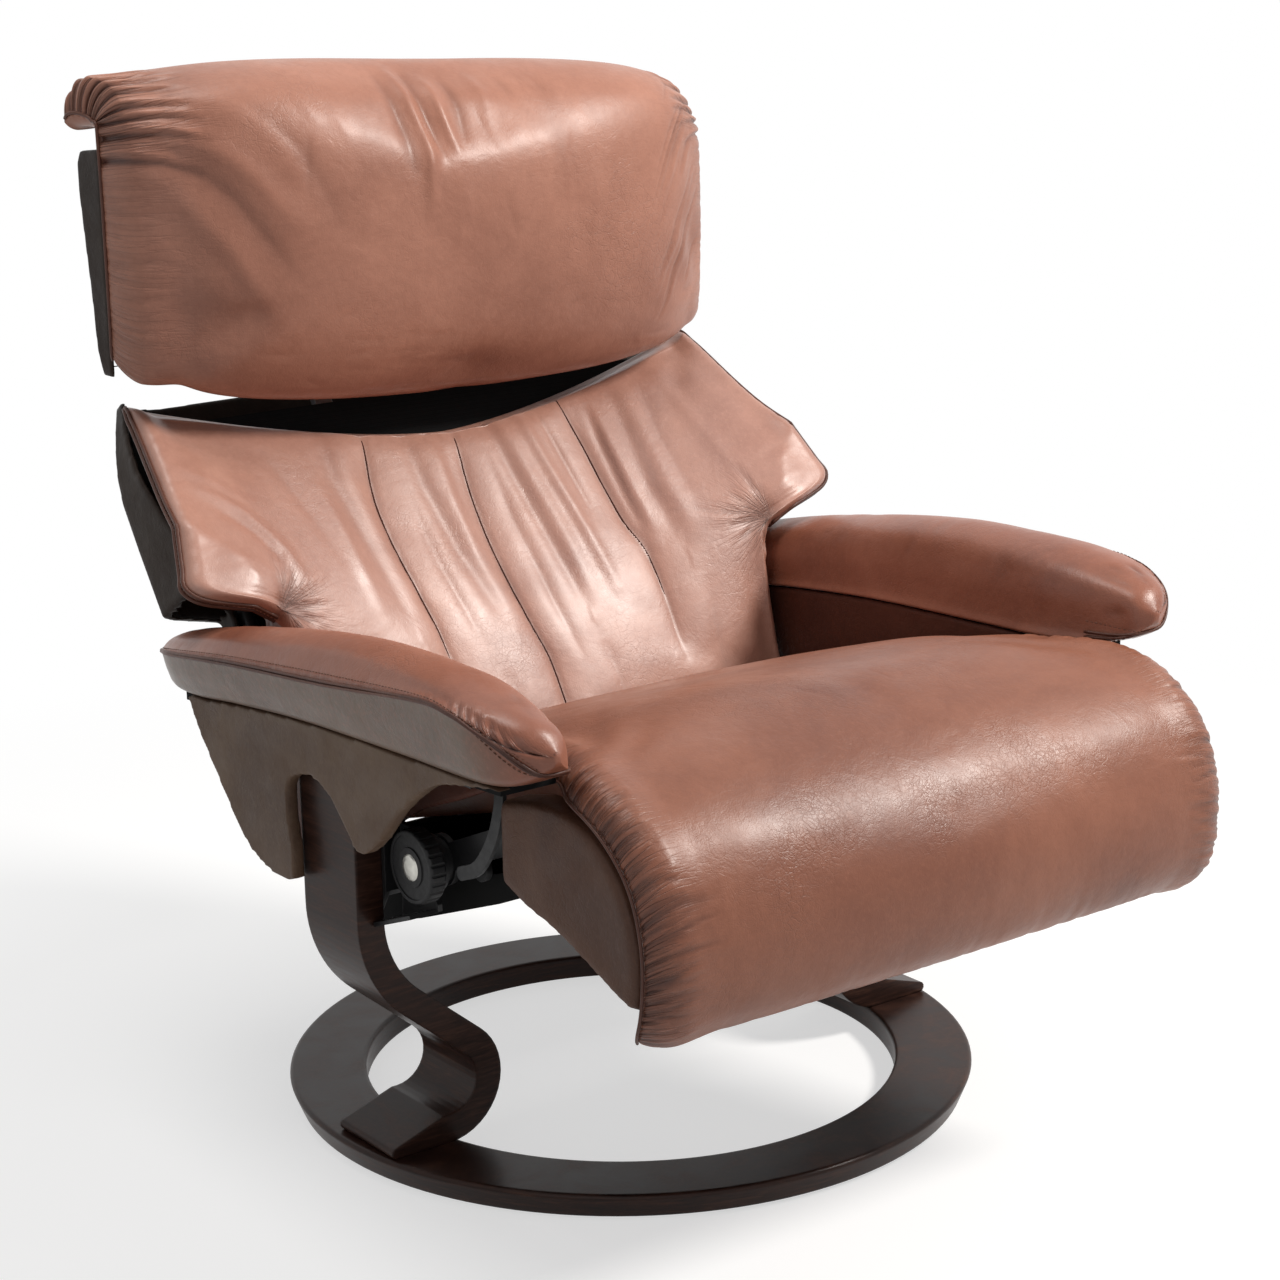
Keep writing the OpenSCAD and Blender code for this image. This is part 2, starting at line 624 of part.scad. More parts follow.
// The outer panel: a rear lobe, an arch where the leg shows, and a front lobe that sweeps up
panel_line = concat(
    through([[192, 428], [172, 397], [143, 363], [113, 328], [84, 303], [50, 291], [22, 289]], 3),
    through([[8, 294], [8, 325], [14, 362], [8, 390], [-23, 402], [-52, 397], [-76, 380], [-99, 354]], 3),
    through([[-106, 350], [-120, 352], [-147, 372], [-178, 404], [-208, 427], [-241, 445], [-300, 457],
        [-334, 462]], 3));
module arm_panel(s) {
    color(leather_shade) side(s) slab(panel_in_x, panel_x) polygon(concat(
        under_line(-336, 194, 14, 2 * play), panel_line));
}
module arm_panel_left() {
    arm_panel(-1);
}
module arm_panel_right() {
    arm_panel(1);
}
// The lining runs down beside the seat rail and stops short of the cushion's wide front
lining_low = 330;
module arm_lining(s) {
    color(leather_shade) side(s) slab(arm_in_x, arm_in_x + lining_t) polygon(concat(
        under_line(-244, 214, 12, 2 * play), [[204, 404], [186, 350], [150, lining_low],
        [30, lining_low], [-60, 348], [-104, 374], [-170, 400], [-225, 424], [-244, 440]]));
}
module arm_lining_left() {
    arm_lining(-1);
}
module arm_lining_right() {
    arm_lining(1);
}
// A bent steel strip that ties the arm board to the seat rail, with a spacer at its foot
stay_x = plate_in_x + 3;
stay_t = 4;
stay_w = 13;
tab_z = curve(-238, pad_under) - board_t - play;
stay_line = through([stay_foot, [-214, 352], [-238, 385], [-249, 418], [-251, tab_z - 3]], 4);
module arm_bracket(s) {
    color(black_steel) side(s) {
        slab(stay_x, stay_x + stay_t) polygon(strip(stay_line, stay_w));
        slab(stay_x, stay_x + stay_t) translate(stay_foot) circle(stay_w / 2);
        slab(stay_x, panel_in_x - 6) translate([-264, tab_z - stay_t]) square([26, stay_t]);
        rod(rail_out_x, stay_x, stay_foot[0], stay_foot[1], 6);
    }
}
module arm_bracket_left() {
    arm_bracket(-1);
}
module arm_bracket_right() {
    arm_bracket(1);
}

// Back frame, drawn in the frame of the leaning back
post_r = 9;
post_top = 330;
plate_x = rail_x - 2 - rail_t;
post_x = plate_x - 6.5;
lower_bar_z = 60;
upper_bar_z = 275;
module back_post(s) {
    color(black_steel) in_back() side(s) difference() {
        union() {
            translate([plate_x, 0, 0]) rotate([0, 90, 0]) cylinder(r = 13, h = rail_t);
            translate([plate_x, -9, 0]) cube([rail_t, 18, 50]);
            translate([post_x, 0, 40]) cylinder(r = post_r, h = post_top - 40, $fn = 32);
        }
        translate([plate_x - 1, 0, 0]) rotate([0, 90, 0]) cylinder(r = pin_r, h = rail_t + 2);
    }
}
module back_post_left() {
    back_post(-1);
}
module back_post_right() {
    back_post(1);
}
module hinge_pins() {
    color(bright_steel) for (s = [-1, 1]) side(s) {
        rod(plate_x - 3, rail_out_x + play, hinge_y, hinge_z, pin_r);
        rod(plate_x - 5, plate_x, hinge_y, hinge_z, pin_r + 3);
    }
}
bar_x = bar_pitch / 2;
sleeve_wall = 2;
sleeve_w = bar_w + 2 * fit + 2 * sleeve_wall;
sleeve_d = bar_t + 2 * fit + 2 * sleeve_wall;
sleeve_z = [240, 312];
post_in_x = post_x - post_r;
module flat_bar(z, h, d) {
    translate([-post_in_x, -d / 2, z - h / 2]) cube([2 * post_in_x, d, h]);
}
module back_lower_bar() {
    color(black_steel) in_back() flat_bar(lower_bar_z, 20, 12);
}
module back_upper_bar() {
    color(black_steel) in_back() difference() {
        flat_bar(upper_bar_z, 22, sleeve_d + 5);
        for (s = [-1, 1]) translate([s * bar_x - sleeve_w / 2, -sleeve_d / 2, 0])
            cube([sleeve_w, sleeve_d, 400]);
    }
}
module headrest_sleeves() {
    color(black_plastic) in_back() for (s = [-1, 1]) difference() {
        translate([s * bar_x - sleeve_w / 2, -sleeve_d / 2, sleeve_z[0]])
            cube([sleeve_w, sleeve_d, sleeve_z[1] - sleeve_z[0]]);
        translate([s * bar_x - bar_w / 2 - fit, -bar_t / 2 - fit, 0])
            cube([bar_w + 2 * fit, bar_t + 2 * fit, 400]);
    }
}
module back_springs() {
    y = -post_r - spring_wire_r - play;
    color(bright_steel) in_back() for (z = [95, 145, 195]) wire(zigzag([-post_x, y, z], [post_x, y, z],
        8, 16, [0, 0, 1]), spring_wire_r);
}

// Back cushion: in rows up the back, and across by u from -1 to 1
// Middle line of its front, as [height, thickness forward of the hinge plane]
back_top = 340;
back_front = [[-46, 22], [-40, 40], [-20, 56], [0, 61], [40, 66], [111, 71], [212, 63], [300, 57],
    [back_top - 8, 50], [back_top, 40]];
back_rear = post_r + 2 * spring_wire_r + 2 * play;
// Half width at each height, with the notch under the wings at about 143
function back_w(s) = curve(s, [[-46, back_half - 14], [-20, back_half - 3], [40, back_half],
    [120, back_half + 4], [143, back_half + 12], [156, back_half + 40], [172, wing_half - 16],
    [188, wing_half], [204, wing_half - 4], [300, wing_half - 28], [back_top + wing_rise, wing_half - 50]]);
back_rows = [-46, -38, -20, 5, 40, 80, 118, 143, 150, 158, 170, 188, 204, 235, 268, 300,
    back_top - 8, back_top];
back_cols = [-1, -0.97, -0.9, -0.8, -0.68, -0.56, -0.44, -0.4, -0.36, -0.2, -0.03, 0,
    0.03, 0.2, 0.36, 0.4, 0.44, 0.56, 0.68, 0.8, 0.9, 0.97, 1];
// How far the sides wrap forward of the middle
function back_wrap(s) = curve(s, [[-46, 0], [5, 0], [60, 16], [143, 47], [188, 54], [300, 24],
    [back_top + wing_rise, 0]]);
function back_lift(s) = s < 150 ? 0 : (s - 150) / (back_top - 150);
function channel(x) = channel_d * max([for (c = [-1, 0, 1]) exp(-((x - c * channel_pitch) / 7) ^ 2)]);
function back_grid(row, u, depth) =
    let (s = row + wing_rise * abs(u) ^ 1.5 * back_lift(row) ^ 1.2, x = u * back_w(s),
        over = max(0, abs(x) - back_half) / (wing_half - back_half),
        wrap = back_wrap(s) * (min(abs(x), wing_half) / 306) ^ 2.4,
        mid = curve(row, back_front),
        t_front = mid + min(wrap, 62) - 8 * abs(u) ^ 12 - (depth == 0 ? channel(x) : 0),
        thick = 26,
        t_rear = max(s > 305 ? lining_front + play : back_rear,
            over > 0.02 || s > 300 || row < -20 ? t_front - thick : back_rear + 0.35 * min(wrap, 62)))
    [x, -(depth == 0 ? t_front : min(t_rear, t_front - 12)), s];
module back_cushion() {
    color(leather) in_back() quilt(
        [for (r = back_rows) [for (u = back_cols) back_grid(r, u, 0)]],
        [for (r = back_rows) [for (u = back_cols) back_grid(r, u, 1)]]);
}

// Back shell: a thin curved tray behind the frame, narrow between the arms and wide above them
shell_t = 5;
lining_front = 22;
shell_rows = [-22, 20, 52, 58, 63, 120, 170, 192, 206, 230, 280, 330, 355, 380, 404, 428];
shell_in_w = arm_in_x - 3;
shell_out_w = head_half + 1;
function shell_w(s) = s < 54 ? plate_x - 6 : s < 192 ? shell_in_w : s < 206 ? shell_in_w + 4
    : s < 330 ? shell_out_w : shell_out_w - 24 * ((s - 330) / 98) ^ 1.6;
function shell_rim(s) = s < 60 ? -12 : s < 192 ? 8 : curve(s, [[191, 8], [206, 80], [300, 46], [428, 12]]);
function shell_back(s) = curve(s, [[-22, -27], [40, -30], [280, -32], [350, -29], [428, -20]]);
function shell_section(s, off) =
    let (w = shell_w(s) - off, b = shell_back(s) + off, r = shell_rim(s), h = r - b,
        f = b + min(16, 0.8 * h), c = b + min(12, 0.6 * h), d = b + min(4, 0.2 * h), g = lerp(f, r, 0.5))
    [for (p = [[-w, r], [-w, g], [-w, f], [-w + 4, c], [-w + 16, d], [-w + 50, b + 1],
        [-w * 0.5, b], [0, b - 2], [w * 0.5, b], [w - 50, b + 1], [w - 16, d], [w - 4, c],
        [w, f], [w, g], [w, r]]) [p[0], -p[1], s]];
module back_shell() {
    color(leather_shade) in_back() quilt(
        [for (s = shell_rows) shell_section(s, shell_t)], [for (s = shell_rows) shell_section(s, 0)]);
}
module back_lining() {
    low = 332;
    high = 391;
    half = [for (s = [low, high]) shell_w(s) - shell_t - 2 * play];
    color(black_cloth) in_back() translate([0, 4 - lining_front, 0]) rotate([90, 0, 0]) linear_extrude(4)
        polygon([[-half[0], low], [half[0], low], [half[1], high], [-half[1], high]]);
}

// Headrest bars: straight in their sleeves, then bent upright into the headrest
head_pin = [358, 800];
bar_low = 130;
bar_bend_z = 418;
bar_bend = back_point(bar_bend_z, 0);
bar_path = concat([back_point(bar_low, 0), back_point(bar_bend_z - 8, 0)],
    through([bar_bend, [377, 700], [360, 742], [358, 775], head_pin], 3));
module headrest_bar(s) {
    color(bright_steel) side(s) difference() {
        union() {
            slab(bar_x - bar_w / 2, bar_x + bar_w / 2) polygon(strip(bar_path, bar_t));
            rod(bar_x - bar_w / 2, bar_x + bar_w / 2, head_pin[0], head_pin[1], 9);
        }
        rod(0, head_half, head_pin[0], head_pin[1], head_pin_r + fit);
    }
}
module headrest_bar_left() {
    headrest_bar(-1);
}
module headrest_bar_right() {
    headrest_bar(1);
}
module headrest_link() {
    color(black_steel) in_back() translate([-bar_x + bar_w / 2, -3, bar_low + 2])
        cube([bar_pitch - bar_w, 6, 16]);
}
ear_t = 3;
ear_gap = 0.5;
module headrest_pins() {
    color(bright_steel) for (s = [-1, 1]) side(s)
        rod(bar_x - bar_w / 2 - ear_gap - ear_t - 2, bar_x + bar_w / 2 + ear_gap + ear_t + 2,
            head_pin[0], head_pin[1], head_pin_r);
}
frame_y = 349;
module headrest_frame() {
    color(black_steel) difference() {
        union() {
            translate([-150, frame_y, 766]) cube([300, 2, 140]);
            for (s = [-1, 1]) for (e = [-1, 1]) side(s)
                slab(bar_x + e * (bar_w / 2 + ear_gap + ear_t / 2) - ear_t / 2,
                    bar_x + e * (bar_w / 2 + ear_gap + ear_t / 2) + ear_t / 2) {
                    translate(head_pin) circle(7);
                    translate([frame_y + 1, head_pin[1] - 7]) square([8, 14]);
                }
            translate([-150, frame_y, 898]) cube([300, 44.9, 4]);
        }
        for (s = [-1, 1]) side(s) rod(1, head_half, head_pin[0], head_pin[1], head_pin_r);
        for (s = [-1, 1]) side(s) translate([bar_x - bar_w / 2 - ear_gap, frame_y - 1, 760])
            cube([bar_w + 2 * ear_gap, 4, 60]);
    }
}
// Rear cover of the headrest, open to the pad and slotted for the bars
head_cover = [[348.3, 716], [370, 716], [380, 740], [385, 795], [391, 839], [398, 890], [398, 915], [391, 926],
    [348.3, 930]];
head_cover_in = [[340, 700], [366, 700], [376, 741], [381, 796], [387, 840], [394, 890], [394, 912], [388, 922], [340, 926]];
slot_w = bar_w + 14;
module headrest_shell() {
    color(leather_shade) difference() {
        slab(4 - head_half, head_half - 4) polygon(head_cover);
        slab(8 - head_half, head_half - 8) polygon(head_cover_in);
        for (s = [-1, 1]) side(s) translate([bar_x - slot_w / 2, 340, 700]) cube([slot_w, 60, 106]);
    }
}

// Headrest cushion: over the front and top, down to its rear flap, as [step, [y, z]]
head_front = [[0, [320, 670]], [1, [284, 657]], [2, [250, 668]], [3, [231, 710]], [4, [222, 770]],
    [5, [220, 830]], [6, [222, 890]], [7, [229, 942]], [8, [248, 980]], [9, [282, 999]], [10, [326, 1003]],
    [11, [370, 998]], [12, [397, 981]], [13, [403, 957]]];
head_inner = [[0, [331, 690]], [1, [322, 702]], [2, [320, 716]], [3, [322, 745]], [4, [326, 790]],
    [5, [330, 840]], [6, [336, 890]], [7, [342, 925]], [8, [346, 945]], [9, [352, 954]], [10, [362, 956]],
    [11, [373, 956]], [12, [383, 954]], [13, [391, 950]]];
head_edge_front = [[0, [341, 702]], [1, [337, 698]], [2, [331, 700]], [3, [326, 722]], [4, [324, 775]],
    [5, [324, 830]], [6, [325, 885]], [7, [328, 925]], [8, [333, 950]], [9, [346, 972]], [10, [362, 984]],
    [11, [380, 987]], [12, [393, 981]], [13, [399, 966]]];
head_edge_inner = [[0, [346, 712]], [1, [346.5, 714]], [2, [347.2, 718]], [3, [348, 738]], [4, [348, 785]],
    [5, [348, 835]], [6, [348, 885]], [7, [348, 922]], [8, [348, 949]], [9, [354, 956]], [10, [364, 958]],
    [11, [376, 959]], [12, [385, 958]], [13, [391, 956]]];
head_cols = [-1, -0.98, -0.94, -0.87, -0.76, -0.6, -0.4, -0.2, 0, 0.2, 0.4, 0.6, 0.76, 0.87, 0.94, 0.98, 1];
head_steps = 26;
function head_half_at(k) = head_half - 9 * max(0, 1 - k / 3) ^ 2;
// The lower edge bows up towards the corners, and the top corners are rounded off
function head_bow(k, u) = k < 4.5 ? 26 * u ^ 2 * (1 - k / 4.5) : k < 6 ? 0
    : -15 * abs(u) ^ 7 * min(1, (k - 6) / 2) * (k > 11 ? (13 - k) / 2 : 1);
function head_grid(k, u, depth) =
    let (f = (1 - (1 - abs(u) ^ 4.4) ^ 0.62),
        q = depth == 0 ? lerp(curve(k, head_front), curve(k, head_edge_front), f)
            : lerp(curve(k, head_inner), curve(k, head_edge_inner), f))
    [u * head_half_at(k), q[0], q[1] + head_bow(k, u)];
module headrest_cushion() {
    color(leather) quilt(
        [for (i = [0:head_steps]) [for (u = head_cols) head_grid(13 * i / head_steps, u, 0)]],
        [for (i = [0:head_steps]) [for (u = head_cols) head_grid(13 * i / head_steps, u, 1)]]);
}

floor_ring();
ball_cage();
bearing_balls();
upper_race();
base_ring();
leg_left();
leg_right();
foot_screws();
leg_bracket_left();
leg_bracket_right();
bracket_bolts();
tilt_axle();
tilt_knob_left();
tilt_knob_right();
knob_cap_left();
knob_cap_right();
seat_rail_left();
seat_rail_right();
pivot_bush_left();
pivot_bush_right();
seat_front_tube();
seat_rear_tube();
seat_springs();
seat_cushion();
seat_side_left();
seat_side_right();
dust_cover();
arm_bracket_left();
arm_bracket_right();
arm_board_left();
arm_board_right();
arm_panel_left();
arm_panel_right();
arm_lining_left();
arm_lining_right();
arm_pad_left();
arm_pad_right();
hinge_pins();
back_post_left();
back_post_right();
back_lower_bar();
back_upper_bar();
headrest_sleeves();
back_springs();
back_shell();
back_lining();
back_cushion();
headrest_bar_left();
headrest_bar_right();
headrest_link();
headrest_pins();
headrest_frame();
headrest_shell();
headrest_cushion();
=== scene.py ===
"""Looks of the recliner: leather cushions with seams, piping, gathers and creases, stained wood
and a black mechanism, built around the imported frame. Lengths are in millimetres until a mesh is made."""

import json
import math

import bmesh
import bpy
import numpy as np
from mathutils import Matrix, Vector


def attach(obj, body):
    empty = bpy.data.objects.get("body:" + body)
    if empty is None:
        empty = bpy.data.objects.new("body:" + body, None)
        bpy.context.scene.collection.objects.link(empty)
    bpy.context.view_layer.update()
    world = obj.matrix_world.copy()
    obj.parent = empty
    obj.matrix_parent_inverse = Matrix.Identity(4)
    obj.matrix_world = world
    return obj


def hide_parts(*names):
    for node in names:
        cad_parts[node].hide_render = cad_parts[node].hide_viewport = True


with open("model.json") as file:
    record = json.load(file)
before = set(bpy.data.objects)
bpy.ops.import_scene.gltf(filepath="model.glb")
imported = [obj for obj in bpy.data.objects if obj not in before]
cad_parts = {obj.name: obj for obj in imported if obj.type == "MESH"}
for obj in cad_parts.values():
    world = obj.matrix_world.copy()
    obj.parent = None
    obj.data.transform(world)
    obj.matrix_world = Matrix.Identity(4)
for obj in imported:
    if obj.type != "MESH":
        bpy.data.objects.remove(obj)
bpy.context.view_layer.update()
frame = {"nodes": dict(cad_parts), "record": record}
nodes = frame["nodes"]
scene = bpy.context.scene
MM = 0.001
STEP = 6.0  # between the points of a cushion, before refine
SIM_FRAMES, SIM_PRESSURE, CALM_ROUNDS = 18, 4.0, 9


# ---- curves and grids ----
def numbered(points):
    return [[i, p] for i, p in enumerate(points)]


def along_line(points):
    """How far along a line each of its points lies."""
    return np.r_[0, np.cumsum(np.linalg.norm(np.diff(points, axis=0), axis=1))]


def curve(x, rows):
    """A smooth curve through [x, value] rows, as in the part's source."""
    xs = np.array([r[0] for r in rows], float)
    ys = np.array([r[1] for r in rows], float)
    n = len(xs)
    a, b = np.maximum(np.arange(n) - 1, 0), np.minimum(np.arange(n) + 1, n - 1)
    wide = (xs[b] - xs[a]) if ys.ndim == 1 else (xs[b] - xs[a])[:, None]
    m = (ys[b] - ys[a]) / wide
    x = np.clip(np.asarray(x, float), xs[0], xs[-1])
    i = np.clip(np.searchsorted(xs, x, side="right") - 1, 0, n - 2)
    h = xs[i + 1] - xs[i]
    t = (x - xs[i]) / h
    if ys.ndim == 2:
        h, t = h[..., None], t[..., None]
    return (
        (2 * t**3 - 3 * t**2 + 1) * ys[i]
        + (t**3 - 2 * t**2 + t) * h * m[i]
        + (3 * t**2 - 2 * t**3) * ys[i + 1]
        + (t**3 - t**2) * h * m[i + 1]
    )


def lerp(a, b, t):
    return a + (b - a) * t


def smooth(x, a, b):
    t = np.clip((x - a) / (b - a), 0, 1)
    return t * t * (3 - 2 * t)


def even(points, step):
    """The points of a line, spaced evenly along a spline through them."""
    n = len(points)
    fine = curve(np.linspace(0, n - 1, 40 * (n - 1) + 1), numbered(points))
    d = along_line(fine)
    at = np.linspace(0, d[-1], max(3, int(round(d[-1] / step))) + 1)
    return np.stack([np.interp(at, d, fine[:, k]) for k in range(3)], 1)


def edge_steps(length, r):
    """Places from 0 to 1: close together over a rounded end of radius r, STEP apart between."""
    arc = [r * (1 - math.cos(math.radians(a))) for a in (0, 24, 43, 59, 73, 85)]
    n = max(2, int(round((length - 2 * r) / STEP)))
    mid = [r + (length - 2 * r) * i / n for i in range(0, n + 1)]
    return np.array(arc + mid + [length - a for a in reversed(arc)]) / length


# ---- meshes ----
def shade_smooth(ob):
    ob.data.polygons.foreach_set("use_smooth", [True] * len(ob.data.polygons))


def new_object(name, verts, faces):
    me = bpy.data.meshes.new(name)
    me.from_pydata((np.asarray(verts, float) * MM).tolist(), [], faces)
    ob = bpy.data.objects.new(name, me)
    shade_smooth(ob)
    me.update()
    scene.collection.objects.link(ob)
    return ob


def from_node(name, node):
    """A free copy of a CAD node's mesh."""
    ob = bpy.data.objects.new(name, nodes[node].data.copy())
    scene.collection.objects.link(ob)
    return ob


def mesh_co(me):
    co = np.zeros(len(me.vertices) * 3)
    me.vertices.foreach_get("co", co)
    return co.reshape(-1, 3) * 1000


def get_co(ob):
    return mesh_co(ob.data)


def set_co(ob, co):
    ob.data.vertices.foreach_set("co", (co * MM).ravel())
    ob.data.update()


def get_normals(ob):
    n = np.zeros(len(ob.data.vertices) * 3)
    ob.data.vertex_normals.foreach_get("vector", n)
    return n.reshape(-1, 3)


def raise_by(ob, high):
    """Moves each point along its normal."""
    set_co(ob, get_co(ob) + get_normals(ob) * high[:, None])


def outward(ob):
    """Makes all faces point outwards."""
    bm = bmesh.new()
    bm.from_mesh(ob.data)
    bmesh.ops.recalc_face_normals(bm, faces=bm.faces)
    bm.to_mesh(ob.data)
    bm.free()


def bake(ob):
    """Applies all modifiers of an object."""
    me = bpy.data.meshes.new_from_object(ob.evaluated_get(bpy.context.evaluated_depsgraph_get()))
    ob.modifiers.clear()
    old = ob.data
    ob.data = me
    bpy.data.meshes.remove(old)


def neighbour_mean(ob):
    """A function that gives for each vertex the mean of its neighbours' values."""
    me = ob.data
    e = np.zeros(len(me.edges) * 2, int)
    me.edges.foreach_get("vertices", e)
    e = e.reshape(-1, 2)
    count = np.bincount(e.ravel(), minlength=len(me.vertices)).astype(float)[:, None]

    def mean(values):
        s = np.zeros_like(values)
        np.add.at(s, e[:, 0], values[e[:, 1]])
        np.add.at(s, e[:, 1], values[e[:, 0]])
        return s / np.maximum(count, 1)

    return mean


def pillow(name, point, length, width, r_side, r_end, seam_at):
    """A closed cushion between the front and the rear surface of point(v, u, rear), with v from 0 to 1
    and u from -1 to 1, and with rounded edges that meet at seam_at of the thickness. Returns the object
    and what is known of each point: v, u, whether it is in front, and how near to an edge."""
    v = edge_steps(length, r_end)
    u = edge_steps(width, r_side) * 2 - 1
    vv, uu = np.meshgrid(v, u, indexing="ij")
    f, r = point(vv, uu, False), point(vv, uu, True)
    du, dv = (1 - np.abs(uu)) * width / 2, np.minimum(vv, 1 - vv) * length

    def off(d, rad):
        return np.sqrt(np.clip(1 - np.clip(1 - d / rad, 0, 1) ** 2, 0, 1))

    e = (off(du, r_side) * off(dv, r_end))[..., None]
    mid = lerp(f, r, seam_at)
    a, b = mid + (f - mid) * e, mid + (r - mid) * e
    nv, nu = vv.shape
    inner = np.s_[1:-1, 1:-1]
    ia = np.arange(nv * nu).reshape(nv, nu)
    ib = ia.copy()
    ib[inner] = nv * nu + np.arange((nv - 2) * (nu - 2)).reshape(nv - 2, nu - 2)
    faces = []
    for i, turn in ((ia, 1), (ib, -1)):
        q = np.stack([i[:-1, :-1], i[:-1, 1:], i[1:, 1:], i[1:, :-1]], -1).reshape(-1, 4)
        faces += q[:, ::turn].tolist()
    ob = new_object(name, np.vstack([a.reshape(-1, 3), b[inner].reshape(-1, 3)]), faces)
    outward(ob)
    return ob, {
        "v": np.r_[vv.ravel(), vv[inner].ravel()],
        "u": np.r_[uu.ravel(), uu[inner].ravel()],
        "front": np.r_[np.ones(nv * nu), np.zeros((nv - 2) * (nu - 2))],
        "edge": np.r_[1 - e.ravel(), 1 - e[inner].ravel()],
    }


def side_line(point, side, seam_at, ends, count):
    """The line where a pillow's front and rear meet at one side."""
    v, u = np.linspace(*ends, count), np.full(count, float(side))
    return lerp(point(v, u, False), point(v, u, True), seam_at)


def tube(path, r, sides):
    """Points and faces of a round tube of radius r along a path."""
    p = np.asarray(path, float)
    n = len(p)
    d = np.gradient(p, axis=0)
    d /= np.linalg.norm(d, axis=1)[:, None]
    u = np.cross(d[0], [0.31, 0.2, 0.93])
    verts = []
    for i in range(n):
        u = u - d[i] * np.dot(u, d[i])
        u /= np.linalg.norm(u)
        w = np.cross(d[i], u)
        for k in range(sides):
            a = 2 * math.pi * k / sides
            verts.append(p[i] + (r[i] if np.ndim(r) else r) * (math.cos(a) * u + math.sin(a) * w))
    faces = []
    for i in range(0, (n - 1) * sides, sides):
        for k in range(sides):
            m = (k + 1) % sides
            faces.append([i + k, i + m, i + sides + m, i + sides + k])
    faces += [list(range(sides))[::-1], list(range((n - 1) * sides, n * sides))]
    return np.array(verts), faces


def joined(parts):
    """Several (points, faces) as one."""
    verts, faces, n = [], [], 0
    for v, f in parts:
        verts.append(v)
        faces += [[i + n for i in q] for q in f]
        n += len(v)
    return np.vstack(verts), faces


def stitches(path, length=3.4):
    """A row of short threads along a path."""
    p = even(path, 5)
    parts = []
    for a, b in zip(p[:-1], p[1:]):
        d = (b - a) / max(1e-6, np.linalg.norm(b - a))
        line = [(a + b) / 2 + d * length * t for t in (-0.5, -0.38, 0, 0.38, 0.5)]
        parts.append(tube(line, np.array([0.15, 0.425, 0.5, 0.425, 0.15]), 6))
    return joined(parts)


def settle(ob, voxel, rounds):
    """Remeshes an object evenly and softens its edges, and keeps its size."""
    mod = ob.modifiers.new("remesh", "REMESH")
    mod.mode = "VOXEL"
    mod.voxel_size = voxel * MM
    bake(ob)
    mean, co = neighbour_mean(ob), get_co(ob)
    for _ in range(rounds):
        for pull in (0.5, -0.48):
            co = co + pull * (mean(co) - co)
    set_co(ob, co)
    shade_smooth(ob)


def refine(ob, info):
    """Halves the mesh's spacing, and gives what info says of each point for the new mesh."""
    for k, v in info.items():
        ob.data.attributes.new("tmp_" + k, "FLOAT", "POINT").data.foreach_set("value", v.astype(np.float32))
    ob.modifiers.new("refine", "SUBSURF").levels = 1
    bake(ob)
    me, out = ob.data, {}
    for k in info:
        v = np.zeros(len(me.vertices), np.float32)
        me.attributes["tmp_" + k].data.foreach_get("value", v)
        out[k] = v.astype(float)
        me.attributes.remove(me.attributes["tmp_" + k])
    shade_smooth(ob)
    return out


def inflate(ob, hold, cap, start, weight):
    """Cloth simulation: the cushion starts smaller, and swells against its held seams by cap at most."""
    before = get_co(ob) - get_normals(ob) * (start * weight)[:, None]
    set_co(ob, before)
    group = ob.vertex_groups.new(name="hold")
    for i in np.flatnonzero(hold > 0.01):
        group.add([int(i)], float(hold[i]), "REPLACE")
    mod = ob.modifiers.new("cloth", "CLOTH")
    s = mod.settings
    s.quality = 5
    s.mass = 0.3
    s.tension_stiffness = s.compression_stiffness = s.shear_stiffness = 15
    s.bending_stiffness = 0.5
    s.use_pressure = True
    s.uniform_pressure_force = SIM_PRESSURE
    s.vertex_group_mass = "hold"
    s.effector_weights.gravity = 0
    mod.collision_settings.use_collision = False
    mod.point_cache.frame_start = 1
    mod.point_cache.frame_end = SIM_FRAMES
    for f in range(1, SIM_FRAMES + 1):
        scene.frame_set(f)
    swollen = ob.evaluated_get(bpy.context.evaluated_depsgraph_get())
    move = mesh_co(swollen.to_mesh()) - before
    swollen.to_mesh_clear()
    ob.modifiers.clear()
    ob.vertex_groups.clear()
    scene.frame_set(1)
    # The movement is averaged, to take small ripples out, and its length is capped
    mean = neighbour_mean(ob)
    for _ in range(CALM_ROUNDS):
        move = 0.4 * move + 0.6 * mean(move)
    far = np.linalg.norm(move, axis=1, keepdims=True)
    move *= cap * np.tanh(far / cap) / np.maximum(far, 1e-6)
    set_co(ob, before + move * weight[:, None])


